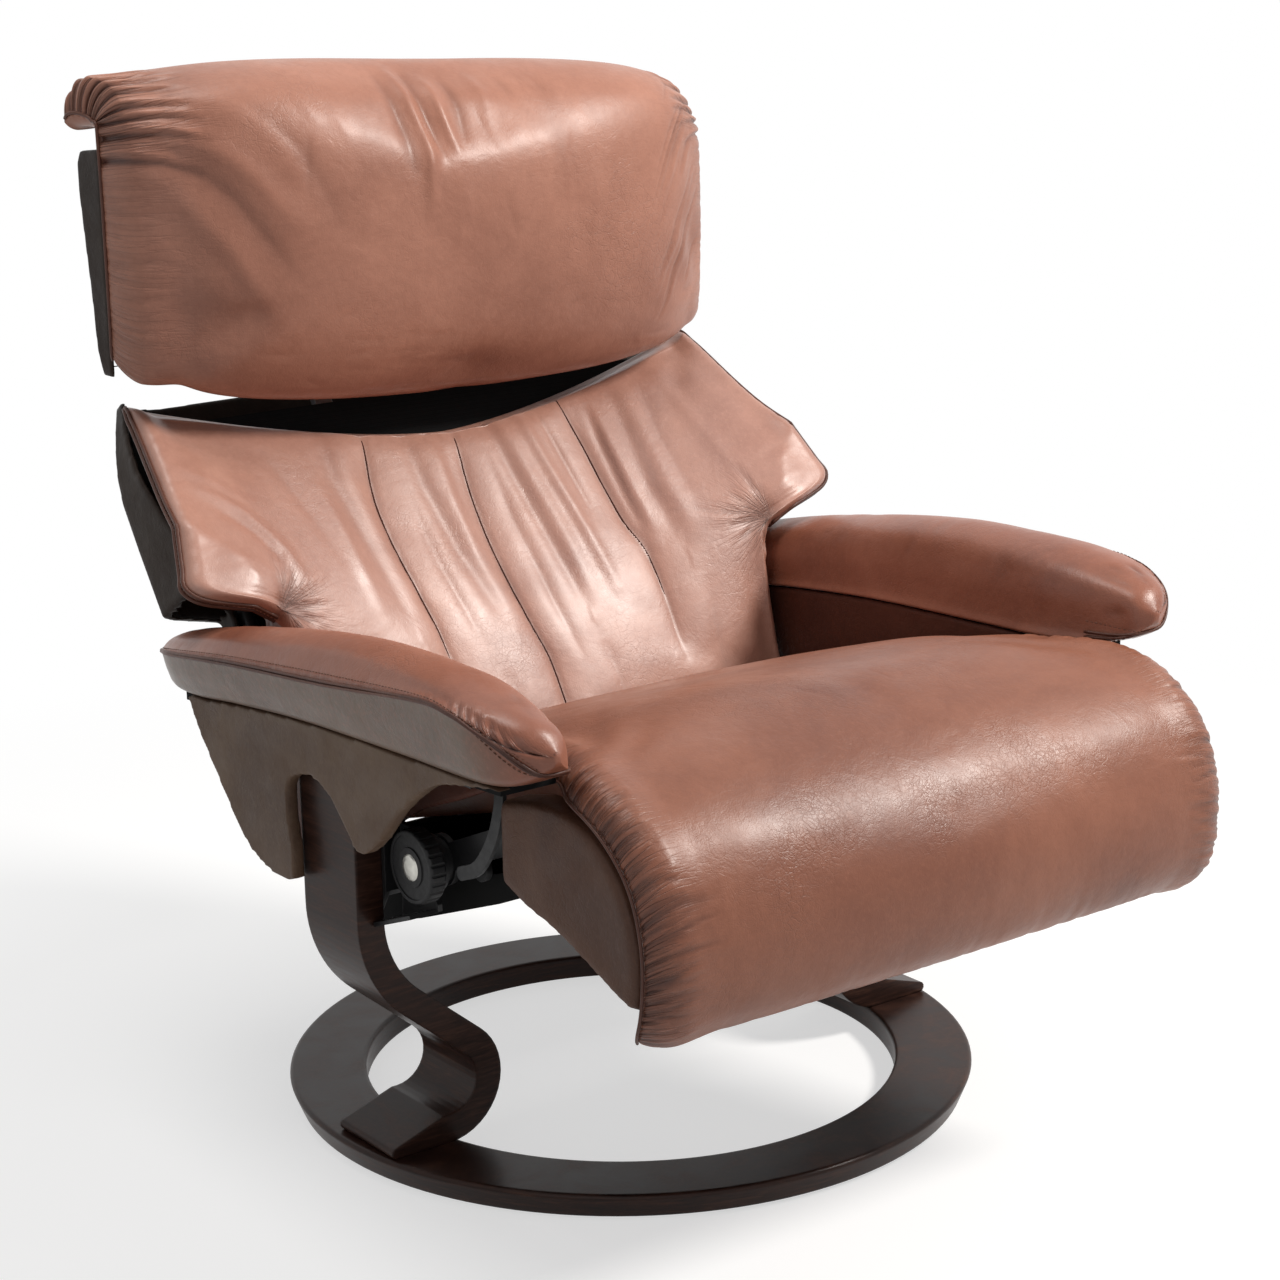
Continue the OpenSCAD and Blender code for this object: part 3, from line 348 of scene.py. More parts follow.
def creases(p, lines):
    """Height of a set of creases at flat points p, and how deep in one each point lies, which the leather uses for
    painted shade in the hollows and, below zero on ridges, for a painted highlight.
    A line is (points, width, depth, kind): valley, ridge, fold, or fan, which fades from its start."""
    high, deep = np.zeros(len(p)), np.zeros(len(p))
    for pts, width, depth, kind in lines:
        pts = np.array(pts, float)
        lo, hi = pts.min(0) - 4 * width, pts.max(0) + 4 * width
        near = np.flatnonzero(((p > lo) & (p < hi)).all(1))
        if not len(near):
            continue
        q, cum = p[near], along_line(pts)
        best, along, side = np.full(len(q), 1e9), np.zeros(len(q)), np.zeros(len(q))
        for i in range(len(pts) - 1):
            ab, long = pts[i + 1] - pts[i], cum[i + 1] - cum[i]
            t = np.clip(((q - pts[i]) @ ab) / long**2, 0, 1)
            off = q - (pts[i] + t[:, None] * ab)
            d = np.linalg.norm(off, axis=1)
            nearer = d < best
            best = np.where(nearer, d, best)
            along = np.where(nearer, (cum[i] + t * long) / cum[-1], along)
            side = np.where(nearer, np.sign(ab[0] * off[:, 1] - ab[1] * off[:, 0]), side)
        fade = (1 - along) ** 0.8 if kind == "fan" else np.sin(np.pi * np.clip(along, 0.02, 0.98)) ** 0.6
        body = np.exp(-((best / width) ** (2 if kind in ("ridge", "fold") else 1.35)))
        h = depth * body * (1 if kind == "ridge" else -1)
        if kind == "fold":
            h += 0.8 * depth * np.exp(-(((best * side) - 1.7 * width) / (1.5 * width)) ** 2)
        high[near] += h * fade
        # Painted shade in a crease's hollow, and a painted highlight (below zero) on a ridge.
        deep[near] += body * fade * min(1.0, depth / 2.5) * (-0.35 if kind == "ridge" else 1)
    return high, deep


def surface_line(ob, flat, mask, line, lifts):
    """Points over an object's surface along a line given in flat points, of which mask says which count."""
    ids = np.flatnonzero(mask)
    co, no, out = get_co(ob)[ids], get_normals(ob)[ids], []
    for q, lift in zip(line, lifts):
        d = np.linalg.norm(flat[ids] - q, axis=1)
        near = np.argsort(d)[:5]
        w = 1 / (d[near] + 0.8)
        out.append((w[:, None] * (co[near] + lift * no[near])).sum(0) / w.sum())
    out = np.array(out)
    for _ in range(2):
        out[1:-1] = 0.25 * out[:-2] + 0.5 * out[1:-1] + 0.25 * out[2:]
    return out


def mark(ob, deep, tone, *gather):
    """Keeps for the leather how deep in a fold each point lies, for painted shade in folds and a painted highlight on
    ridges, where the pad's painted shade colour goes, and the fine gathers beside a seam: the place along the seam and
    the distance from it in mm, and their strength."""
    names = ("fold_shade_ridge_light", "strip_shade_tone", "gather_along", "gather_far", "gather_weight")
    for name, v in zip(names, (np.clip(deep, -0.4, 1), tone, *gather)):
        if v is not None:
            at = ob.data.attributes.new(name, "FLOAT", "POINT")
            at.data.foreach_set("value", np.asarray(v, np.float32))


def finish_piece(ob, material, body, replaced=None):
    ob.data.materials.clear()
    ob.data.materials.append(material)
    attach(ob, body)
    if replaced:
        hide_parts(replaced)


def trim(name, parts, material, body):
    """Piping, seams or stitches as one piece."""
    finish_piece(new_object(name, *joined(parts)), material, body)


# ---- materials ----
class Nodes:
    """A short way to write the nodes of a material or world."""

    def __init__(self, name, kind=bpy.data.materials):
        self.made = kind.new(name)
        self.made.use_nodes = True
        self.tree = self.made.node_tree
        self.end = next(n.inputs[0] for n in self.tree.nodes if n.type.startswith("OUTPUT"))
        self.shader = self.end.links[0].from_node
        self.place = self.add("TexCoord").outputs["Object"]

    def put(self, socket, v):
        if isinstance(v, bpy.types.NodeSocket):
            self.tree.links.new(v, socket)
        else:
            socket.default_value = (*v, 1) if socket.type == "RGBA" else v

    def fill(self, n, inputs):
        for k, v in inputs.items():
            self.put(n.inputs[k.replace("_", " ")], v)

    def add(self, kind, **inputs):
        n = self.tree.nodes.new("ShaderNode" + kind)
        self.fill(n, inputs)
        return n

    def set(self, **inputs):
        self.fill(self.shader, inputs)
        return self.made

    def attribute(self, name):
        n = self.add("Attribute")
        n.attribute_name = name
        return n.outputs["Fac"]

    def noise(self, scale, detail=3.0, rough=0.5, stretch=None, warp=0.0):
        at = self.place
        if stretch:
            at = self.add("Mapping", Vector=at, Scale=stretch).outputs[0]
        n = self.add("TexNoise", Vector=at, Scale=scale, Detail=detail, Roughness=rough, Distortion=warp)
        return n.outputs["Fac"]

    def cells(self, scale, feature, at):
        n = self.add("TexVoronoi", Vector=at, Scale=scale)
        n.feature = feature
        return n.outputs["Distance"]

    def ramp(self, value, stops):
        n = self.add("ValToRGB", Fac=value)
        e = n.color_ramp.elements
        while len(e) < len(stops):
            e.new(0.5)
        for el, (pos, col) in zip(e, stops):
            el.position = pos
            el.color = (*col, 1)
        return n.outputs[0]

    def math(self, op, a, b=0.0):
        n = self.add("Math")
        n.operation = op
        self.put(n.inputs[0], a)
        self.put(n.inputs[1], b)
        return n.outputs[0]

    def span(self, value, a, b, lo, hi):
        """Value from a to b becomes lo to hi, and stays between them."""
        return self.add("MapRange", Value=value, From_Min=a, From_Max=b, To_Min=lo, To_Max=hi).outputs[0]

    def mix(self, fac, a, b):
        n = self.add("Mix")
        n.data_type = "RGBA"
        for i, v in ((0, fac), (6, a), (7, b)):
            self.put(n.inputs[i], v)
        return n.outputs[2]

    def bump(self, height, distance, strength, before=None):
        n = self.add("Bump", Height=height, Distance=distance, Strength=strength)
        if before is not None:
            self.put(n.inputs["Normal"], before)
        return n.outputs[0]

    def both(self, kind, a, b, **inputs):
        """Two shaders mixed or added."""
        n = self.add(kind, **inputs)
        self.put(n.inputs[-2], a.outputs[0])
        self.put(n.inputs[-1], b.outputs[0])
        return n

    def show(self, seen):
        """Another shader for what is seen, directly, in gloss or through glass."""
        rays = self.add("LightPath").outputs
        ray = self.math("ADD", rays["Is Glossy Ray"], rays["Is Transmission Ray"])
        ray = self.math("MINIMUM", 1.0, self.math("ADD", rays["Is Camera Ray"], ray))
        self.put(self.end, self.both("MixShader", self.shader, seen, Fac=ray).outputs[0])


def shade(colour, *k):
    """A colour times k, or times one k for each channel."""
    return tuple(min(1, c * f) for c, f in zip(colour, k * 3))


def leather(name, light, mid, dark, rough, coat, strip_shade_tones=None, gloss=0.32, worn=0.5, coat_rough=0.3):
    """Smooth leather: fine pores and creases, softly uneven colour, painted shade in its folds and a painted highlight
    on its ridges, and a satin shine.
    """
    n = Nodes(name)
    tint = n.ramp(n.noise(5, 5, 0.62, warp=0.6), [(0.3, dark), (0.5, mid), (0.7, light)])
    # Painted shade: a darker olive-brown is mixed in where the pad's outer strip lies.
    if strip_shade_tones:
        other = n.ramp(n.noise(9, 4, 0.6), [(0.3, strip_shade_tones[1]), (0.7, strip_shade_tones[0])])
        tint = n.mix(n.span(n.attribute("strip_shade_tone"), 0, 1, 0, 1), tint, other)
    tint = n.mix(n.span(n.noise(90, 6, 0.7, warp=0.3), 0.42, 0.7, 0, 0.5), tint, n.mix(0.5, tint, dark))
    tint = n.mix(n.span(n.noise(210, 4, 0.65), 0.5, 0.72, 0, 0.3), tint, light)
    depth = n.attribute("fold_shade_ridge_light")
    # Painted shade: points deep in a fold or crease are darkened, and points on a ridge are lightened as a painted
    # highlight.
    tint = n.mix(n.span(depth, 0.04, 0.9, 0, 0.9), tint, shade(dark, 0.2, 0.13, 0.12))
    tint = n.mix(n.span(depth, -0.05, -0.35, 0, 0.5), tint, shade(light, 1.35))
    # Two nets of fine cracks, stronger where the leather is worn, over wide and middle waves
    warp = n.add("TexNoise", Vector=n.place, Scale=38, Detail=3).outputs["Color"]
    shaken = n.add("VectorMath")
    shaken.operation = "MULTIPLY_ADD"
    for socket, v in zip(shaken.inputs, (warp, (0.02, 0.02, 0.02), n.place)):
        n.put(socket, v)
    shaken = shaken.outputs[0]
    where = n.span(n.noise(8), 0.5, 0.68, 0.04, worn)
    wide = n.math("MULTIPLY", n.span(n.cells(95, "DISTANCE_TO_EDGE", shaken), 0, 0.07, 1, 0), where)
    thin = n.math("MULTIPLY", n.span(n.cells(240, "DISTANCE_TO_EDGE", shaken), 0, 0.1, 1, 0), where)
    b = n.bump(n.noise(17, 4, 0.6, warp=0.5), 0.006, 0.2)
    b = n.bump(n.noise(60, 4, 0.6, warp=0.8), 0.0022, 0.22, b)
    b = n.bump(wide, -0.0009, 0.4, b)
    b = n.bump(thin, -0.0005, 0.5, b)
    b = n.bump(n.cells(820, "SMOOTH_F1", n.place), 0.0004, 0.3, b)
    # Painted shade: the wider cracks are darkened a little.
    tint = n.mix(n.math("MULTIPLY", wide, 0.2), tint, shade(dark, 0.5))
    # Gathers: noise drawn out away from the seam, of which the middle values are the folds; they are bumped in and
    # darkened as painted shade
    along, far = n.attribute("gather_along"), n.attribute("gather_far")
    flow = n.add("CombineXYZ", X=n.math("MULTIPLY", along, 0.16), Y=n.math("MULTIPLY", far, 0.02))
    pleat = n.add("TexNoise", Vector=flow.outputs[0], Scale=1, Detail=2.5, Distortion=0.25).outputs["Fac"]
    pleat = n.span(n.math("ABSOLUTE", n.math("SUBTRACT", pleat, 0.5)), 0, 0.09, 1, 0)
    pleat = n.math("MULTIPLY", n.math("POWER", pleat, 1.6), n.attribute("gather_weight"))
    b = n.bump(pleat, -0.0022, 0.8, b)
    tint = n.mix(n.math("MULTIPLY", pleat, 0.75), tint, shade(dark, 0.2))
    shine = n.span(n.noise(23, 5, 0.6), 0.3, 0.7, rough - 0.06, rough + 0.1)
    n.set(Base_Color=tint, Roughness=shine, Normal=b)
    return n.set(Coat_Weight=coat, Coat_Roughness=coat_rough, Specular_IOR_Level=gloss)


def wood():
    """Dark stained laminate under satin lacquer."""
    n = Nodes("stained_wood_look")
    grain = n.noise(24, 5, 0.62, (1, 1, 9), 0.5)
    fine = n.noise(150, 3, 0.6, (1, 1, 12))
    stain = [(0.3, (0.014, 0.006, 0.0045)), (0.52, (0.034, 0.0145, 0.01)), (0.74, (0.075, 0.033, 0.021))]
    tint = n.mix(n.span(fine, 0.4, 0.7, 0, 0.4), n.ramp(grain, stain), (0.012, 0.005, 0.004))
    edge = n.add("Bevel", Radius=0.0035)
    edge.samples = 6
    b = n.bump(fine, 0.0003, 0.12, edge.outputs[0])
    n.set(Base_Color=tint, Roughness=n.span(grain, 0.3, 0.7, 0.3, 0.42), Normal=b)
    return n.set(Coat_Weight=0.05, Coat_Roughness=0.16, Specular_IOR_Level=0.13)


def plain(name, colour, rough, metal, grain, strength, spread=0.06, bevel=0.0008):
    """Metal, plastic or paint with fine unevenness in colour, shine and surface."""
    n = Nodes(name)
    a = n.noise(grain * 0.12, 4)
    tint = n.mix(n.span(a, 0.35, 0.7, 0, 1), colour, shade(colour, 0.72))
    edge = n.add("Bevel", Radius=bevel)
    edge.samples = 4
    b = n.bump(n.noise(grain, 2), 0.0002, strength, edge.outputs[0])
    n.set(Base_Color=tint, Roughness=n.span(a, 0.3, 0.7, rough - spread, rough + spread), Normal=b)
    return n.set(Metallic=metal, Specular_IOR_Level=0.5 if metal else 0.28)


def cloth():
    """Thin black lining with a plain weave."""
    n = Nodes("black_cloth_look")
    weave = []
    for axis in "XYZ":
        w = n.add("TexWave", Vector=n.place, Scale=260, Distortion=0.4)
        w.bands_direction = axis
        weave.append(w.outputs["Fac"])
    both = n.math("MULTIPLY", n.math("MAXIMUM", weave[1], weave[2]), weave[0])
    tint = n.mix(both, (0.006, 0.006, 0.006), (0.02, 0.02, 0.021))
    n.set(Base_Color=tint, Roughness=n.span(both, 0, 1, 0.75, 0.95), Normal=n.bump(both, 0.0004, 0.4))
    return n.set(Specular_IOR_Level=0.1)


# Painted shade: darker olive-brown tones for the pad's outer strip below its seam, which lies in shade.
PAD_STRIP_SHADE = ((0.16, 0.105, 0.066), (0.105, 0.064, 0.041))
# Painted shade: the seat's leather is a darker copy of the same leather.
SEAT = leather("seat_look", (0.29, 0.112, 0.066), (0.228, 0.083, 0.047), (0.16, 0.053, 0.03), 0.4, 0.12)
LEATHER = leather("leather_look", (0.42, 0.192, 0.13), (0.335, 0.145, 0.096), (0.24, 0.096, 0.061), 0.42, 0.14)
# The back's leather is a lighter copy of the same leather: partly its worn, dried look, partly a painted sheen.
BACK = leather("back_look", (0.5, 0.255, 0.185), (0.4, 0.188, 0.132), (0.285, 0.12, 0.08), 0.47, 0.5,
               gloss=0.7, worn=0.4, coat_rough=0.36)
PAD = leather("pad_look", (0.34, 0.13, 0.08), (0.27, 0.095, 0.055), (0.19, 0.062, 0.036), 0.36, 0.2, PAD_STRIP_SHADE)
# Painted shade: a very dark copy of the leather for the arm linings, which lie in shade; it also colours the back's
# seam welts.
INNER = leather("inner_look", (0.11, 0.036, 0.022), (0.08, 0.025, 0.015), (0.05, 0.015, 0.01), 0.48, 0.03, gloss=0.2)
# Painted shade: the arm panels' olive-brown is a darker copy of the leather, for the shade they lie in.
PANEL = leather("panel_look", (0.155, 0.1, 0.063), (0.11, 0.066, 0.041), (0.068, 0.038, 0.025), 0.5, 0.03, gloss=0.22)
# Painted shade: a darker copy of the leather for the seat sides.
SIDE = leather("side_look", (0.125, 0.062, 0.038), (0.088, 0.041, 0.025), (0.052, 0.022, 0.014), 0.5, 0.03, gloss=0.22)
# Painted shade: a near-black copy of the leather for the back and headrest shells.
SHELL = leather("shell_look", (0.04, 0.028, 0.021), (0.025, 0.016, 0.012), (0.014, 0.009, 0.007), 0.52, 0, gloss=0.12)
PIPING = leather("piping_look", (0.13, 0.05, 0.031), (0.085, 0.03, 0.019), (0.04, 0.014, 0.009), 0.42, 0.05, gloss=0.25)
THREAD = plain("thread_look", (0.16, 0.075, 0.05), 0.7, 0, 1500, 0.5)
CLOTH = cloth()
# Lining cloth covers the plywood of the arm boards
LOOKS = {"stained_wood": wood(), "black_cloth": CLOTH, "plywood": CLOTH, "leather": LEATHER, "leather_panel": PANEL}
for slot, *look in (
    ("black_steel", (0.014, 0.014, 0.015), 0.42, 0, 1200, 0.25),
    ("bright_steel", (0.5, 0.5, 0.51), 0.34, 1, 700, 0.1),
    ("black_plastic", (0.012, 0.012, 0.013), 0.5, 0, 1600, 0.35),
    ("knob_cap", (0.62, 0.61, 0.56), 0.36, 1, 900, 0.05, 0.04, 0.0004),
):
    LOOKS[slot] = plain(slot + "_look", *look)
for row in frame["record"]["subparts"]:
    me = nodes[row["node"]].data
    me.materials.clear()
    me.materials.append(LOOKS[row["material_slot"]])


# ---- seat cushion ----
SEAT_HALF, SEAT_FRONT = 291, 337
SEAT_TOP = numbered([
    [80, 370], [40, 390], [-40, 418], [-130, 446], [-220, 472], [-300, 487], [-370, 488],
    [-428, 470], [-474, 432], [-497, 380], [-503, 325], [-494, 278], [-472, 250],
])
SPRING_LINE = [[y, 395.5 - 0.29123 * (y + 240)] for y in (62, 25, -55, -145, -243)]
SEAT_UNDER = numbered(SPRING_LINE + [
    [-298, 399], [-350, 394], [-390, 380], [-418, 355], [-432, 325], [-436, 298], [-440, 272], [-450, 254],
])
SEAT_W = [
    [0, SEAT_HALF - 3], [3.4, SEAT_HALF], [4.4, SEAT_HALF + 4], [5.3, SEAT_HALF + 17],
    [6, lerp(SEAT_HALF, SEAT_FRONT, 0.85)], [6.6, SEAT_FRONT - 1], [8.5, SEAT_FRONT],
    [10.8, SEAT_FRONT - 2], [11.4, SEAT_FRONT - 9], [11.8, SEAT_FRONT - 22], [12, SEAT_FRONT - 36],
]
SEAT_CROWN, SEAT_SEAM_AT = 14, 0.8  # how far the sides drop, and where the seam lies in the thickness
seat_fine = np.linspace(0, 12, 481)
seat_arc = along_line(curve(seat_fine, SEAT_TOP))
SEAT_LONG = seat_arc[-1]


def seat_k(v):
    return np.interp(v * SEAT_LONG, seat_arc, seat_fine)


def seat_point(v, u, rear):
    k = seat_k(v)
    a, b = curve(k, SEAT_TOP), curve(k, SEAT_UNDER)
    full = np.linalg.norm(b - a, axis=-1)
    d = (b - a) / full[..., None]
    drop = SEAT_CROWN * (0.35 * u**2 + 0.65 * np.abs(u) ** 9)
    if rear:
        thin = np.minimum(full, SEAT_CROWN + 28)
        drop = np.maximum(lerp(full, thin, smooth(np.abs(u), 0.82, 0.885)), drop + 6)
    q = a + d * drop[..., None]
    return np.stack([u * curve(k, SEAT_W), q[..., 0], q[..., 1]], -1)


rng = np.random.default_rng(11)
draw = rng.uniform
seat, info = pillow("seat_cushion_leather", seat_point, SEAT_LONG, width=650, r_side=34, r_end=16, seam_at=SEAT_SEAM_AT)
inner = info["front"] * smooth((1 - np.abs(info["u"])) * 320, 4, 60) * smooth(info["v"], 0, 0.12)
inflate(seat, info["edge"] ** 2, cap=9, start=6, weight=inner)
info = refine(seat, info)
arc_at, half = info["v"] * SEAT_LONG, curve(seat_k(info["v"]), SEAT_W)
du = (1 - np.abs(info["u"])) * half
front = info["front"] > 0.6
high, deep = np.zeros(len(du)), np.zeros(len(du))
gather_from, gather_to = np.interp([4.6, 12], seat_fine, seat_arc)
for side in (-1, 1):
    mine = (info["u"] * side > 0) & front
    lines, s = [], gather_from
    while s < gather_to:
        place = (s - gather_from) / (gather_to - gather_from)
        long = draw(18, 40) + 42 * math.exp(-(((place - 0.7) / 0.2) ** 2)) * draw(0.2, 1)
        slant = draw(-7, 7) + 8 * (0.6 - place)
        path = [[s, -4], [s + draw(-4, 4), long * 0.35], [s + slant * 0.7, long * 0.7], [s + slant, long]]
        lines.append((path, draw(1.9, 3.4), draw(1.2, 3.4), "fan"))
        if rng.random() < 0.4:
            lines.append(([[s + 4, 3], [s + 4 + slant, long * 1.1]], draw(3, 5), draw(0.5, 1.4), "ridge"))
        s += draw(6, 12)
    h, d = creases(np.stack([arc_at, du], 1), lines)
    high += np.where(mine, h, 0)
    deep += np.where(mine, d, 0)
# Soft pulls across the roll, small creases where the sitter's knees rest, and pulls at the lip
soft = []
for _ in range(14):
    x, a = draw(-250, 230), draw(250, 560)
    soft.append(([[x, a], [x + draw(40, 110), a + draw(-30, 30)]], draw(9, 18), draw(0.2, 0.55), "valley"))
for _ in range(30):
    x, a = draw(-120, 190), draw(300, 420)
    path = [[x, a], [x + draw(-6, 14), a + draw(10, 26)], [x + draw(4, 22), a + draw(28, 50)]]
    soft.append((path, draw(1.6, 3), draw(0.15, 0.45), "valley"))
for _ in range(40):
    x = draw(-300, 310)
    path = [[x, SEAT_LONG + 4], [x + draw(-5, 5), SEAT_LONG - draw(18, 90)]]
    soft.append((path, draw(3, 6), draw(0.2, 0.8), "fan"))
h, d = creases(np.stack([info["u"] * half, arc_at], 1), soft)
raise_by(seat, high + h * front)
near_edge = np.exp(-np.clip(du, 0, None) / 17) * smooth(arc_at, gather_from - 20, gather_from + 60)
# Painted shade in the hollows of the gathers and, a fifth as strong, of the soft pulls; a painted highlight on their
# ridges.
mark(seat, deep + 0.2 * d * front, None, arc_at, du, 0.85 * near_edge * front)
finish_piece(seat, SEAT, "seat", "seat_cushion")
lines = [side_line(seat_point, side, SEAT_SEAM_AT, (0.38, 0.975), 70) + [side * 0.3, 0, 0] for side in (-1, 1)]
trim("seat_cushion_seam", [tube(even(line, 5), 1.4, 8) for line in lines], PIPING, "seat")

# ---- back cushion ----
BACK_HALF, WING_HALF, LEAN = 290, 395, math.radians(35)
HINGE = (135, 330)
BACK_LOW, BACK_TOP, WING_RISE = -46, 340, 76
NOTCH_S = 148  # height of the notch below each wing, along the back
BACK_FRONT = [
    [BACK_LOW, 22], [-40, 40], [-20, 56], [0, 61], [40, 66], [111, 71], [212, 63], [300, 57],
    [BACK_TOP - 8, 50], [BACK_TOP, 40],
]
BACK_W = [
    [BACK_LOW, BACK_HALF - 14], [-20, BACK_HALF - 3], [40, BACK_HALF], [120, BACK_HALF + 4],
    [143, BACK_HALF + 12], [156, BACK_HALF + 40], [172, WING_HALF - 16], [188, WING_HALF],
    [204, WING_HALF - 4], [300, WING_HALF - 28], [BACK_TOP + WING_RISE, WING_HALF - 50],
]
BACK_WRAP = [[BACK_LOW, 0], [5, 0], [60, 16], [143, 47], [188, 54], [300, 24], [BACK_TOP + WING_RISE, 0]]
BACK_LONG = BACK_TOP - BACK_LOW


def lean(x, s, t):
    """A point of the leaning back: x across, s up along it, t out of its front."""
    return np.stack([
        x + 0 * s,
        HINGE[0] + s * math.sin(LEAN) - t * math.cos(LEAN),
        HINGE[1] + s * math.cos(LEAN) + t * math.sin(LEAN),
    ], -1)


def back_st(v, u, rear):
    row = BACK_LOW + BACK_LONG * v
    lift = np.clip((row - 150) / (BACK_TOP - 150), 0, None)
    s = row + WING_RISE * np.abs(u) ** 1.5 * lift**1.2
    x = u * curve(s, BACK_W)
    over = np.maximum(0, np.abs(x) - BACK_HALF) / (WING_HALF - BACK_HALF)
    wrap = np.minimum(curve(s, BACK_WRAP) * (np.minimum(np.abs(x), WING_HALF) / 306) ** 2.4, 62)
    t = curve(row, BACK_FRONT) + wrap - 8 * np.abs(u) ** 12
    if rear:
        thin = np.maximum(over > 0.02, np.maximum(s > 300, row < -20)).astype(float)
        base = np.where(s > 305, 22.6, 13.8)
        t = np.minimum(np.maximum(base, lerp(13.8 + 0.35 * wrap, t - 26, thin)), t - 12)
    return x, s, t


def back_point(v, u, rear):
    return lean(*back_st(v, u, rear))


def back_flat(info):
    """Where each point lies across and up the back."""
    return np.stack(back_st(info["v"], info["u"], False)[:2], 1)


back, info = pillow("back_cushion_leather", back_point, BACK_LONG + 40, width=700, r_side=15, r_end=8, seam_at=0.6)
BACK_SEAMS = (
    [[-44, 0], [58, 0], [105, -9], [174, -15], [254, -13], [328, -2], [356, 0]],
    [[10, -112], [110, -118], [194, -128], [262, -128], [340, -110], [366, -108]],
    [[30, 160], [150, 156], [194, 146], [289, 141], [326, 138], [366, 136]],
)
seams = [np.array([[curve(s, rows), s] for s in np.arange(rows[0][0], rows[-1][0], 8)]) for rows in BACK_SEAMS]
held = creases(back_flat(info), [(line, 7, 3, "valley") for line in seams])[1]
hold = np.clip(info["edge"] ** 2 + 0.9 * held, 0, 1)
inflate(back, hold, cap=11, start=7, weight=info["front"] * smooth(1 - np.abs(info["u"]), 0, 0.1))
info = refine(back, info)
flat = back_flat(info)
bx, bs = flat.T
front = info["front"] > 0.6
FOLD_SCALE = 1.3
FOLDS = {
    "fold": (
        ([[-62, 352], [-66, 270], [-58, 190], [-40, 110]], 10, 2.2),
        ([[40, 350], [44, 270], [52, 190], [60, 110]], 9, 2.4),
        ([[164, 330], [161, 286], [160, 220], [162, 168]], 5, 2.2),
        ([[-158, 360], [-170, 290], [-160, 200], [-148, 120]], 11, 2.0),
        ([[200, 360], [196, 290], [190, 220], [196, 150]], 10, 2.0),
    ),
    "ridge": (
        ([[80, 350], [84, 280], [96, 190], [104, 120]], 8, 2.8),
        ([[-196, 300], [-190, 220], [-178, 130]], 9, 1.8),
        ([[-34, 330], [-40, 250], [-38, 180]], 8, 1.4),
        ([[-338, 300], [-300, 262], [-272, 214], [-262, 178]], 7, 2.8),
        ([[-344, 330], [-310, 296], [-280, 262]], 9, 1.4),
        ([[270, 350], [276, 280], [290, 210]], 10, 1.4),
    ),
    "valley": (
        ([[104, 340], [108, 280], [114, 200]], 5, 2.0),
        ([[22, 300], [20, 220], [26, 120], [36, 50]], 8, 1.6),
        ([[-90, 260], [-88, 180], [-74, 90]], 8, 1.6),
        ([[240, 350], [226, 270], [228, 200]], 11, 1.6),
        ([[-240, 350], [-222, 270], [-206, 200]], 11, 1.6),
        ([[-330, 276], [-296, 236], [-276, 196]], 6, 1.6),
        ([[-60, 60], [-52, 10], [-56, -30]], 9, 1.2),
        ([[66, 70], [72, 20], [66, -30]], 9, 1.2),
        ([[-200, 120], [-188, 50], [-196, -10]], 12, 1.4),
        ([[210, 110], [204, 40], [208, -20]], 12, 1.2),
    ),
}
folds = [(line, width, FOLD_SCALE * depth, kind) for kind, rows in FOLDS.items() for line, width, depth in rows]
notch = []
draw = np.random.default_rng(5).uniform
for side in (-1, 1):
    for i in range(13):
        a = math.radians(-34 + 128 * (i + draw(-0.3, 0.3)) / 12)
        start = np.array([side * (BACK_HALF + 6), NOTCH_S])
        way = np.array([-side * math.cos(a), math.sin(a)])
        turn = np.array([side * way[1], side * -way[0]]) * draw(-8, 8)
        way *= draw(60, 120) * (1 if a > 0.2 else 0.6)
        path = [start, start + way * 0.4 + turn * 0.6, start + way * 0.75 + turn, start + way]
        notch.append((path, draw(2.6, 3.8), draw(0.9, 2.2), "fan"))
    for rise, long, deepest in ((3, 52, 4.5), (24, 60, 3.2), (-14, 44, 3.0), (48, 48, 2.4)):
        a = math.radians(rise)
        start = np.array([side * (BACK_HALF + 12), NOTCH_S + 2])
        notch.append(([start, start + [-side * math.cos(a) * long, math.sin(a) * long]], 3.6, deepest, "fan"))
wing = []
for side in (-1, 1):
    for i in range(16):
        s = 196 + i * 14 + draw(-4, 4)
        x = side * (WING_HALF - 8 - (s - 190) * 0.22)
        wing.append(([[x, s], [x - side * draw(12, 34), s + draw(-6, 6)]], draw(2, 3.6), draw(0.3, 0.9), "fan"))
    for s in range(196, 266, 14):
        path = [[side * 372, s], [side * 330, s - 6 + draw(-5, 5)], [side * 290, s - 26]]
        wing.append((path, draw(6, 9), draw(0.3, 0.8), "ridge"))
high, deep = np.zeros(len(bx)), np.zeros(len(bx))
narrow, wide = ([(line, *size, "valley") for line in seams] for size in ((4.5, 2.6), (16, 3.0)))
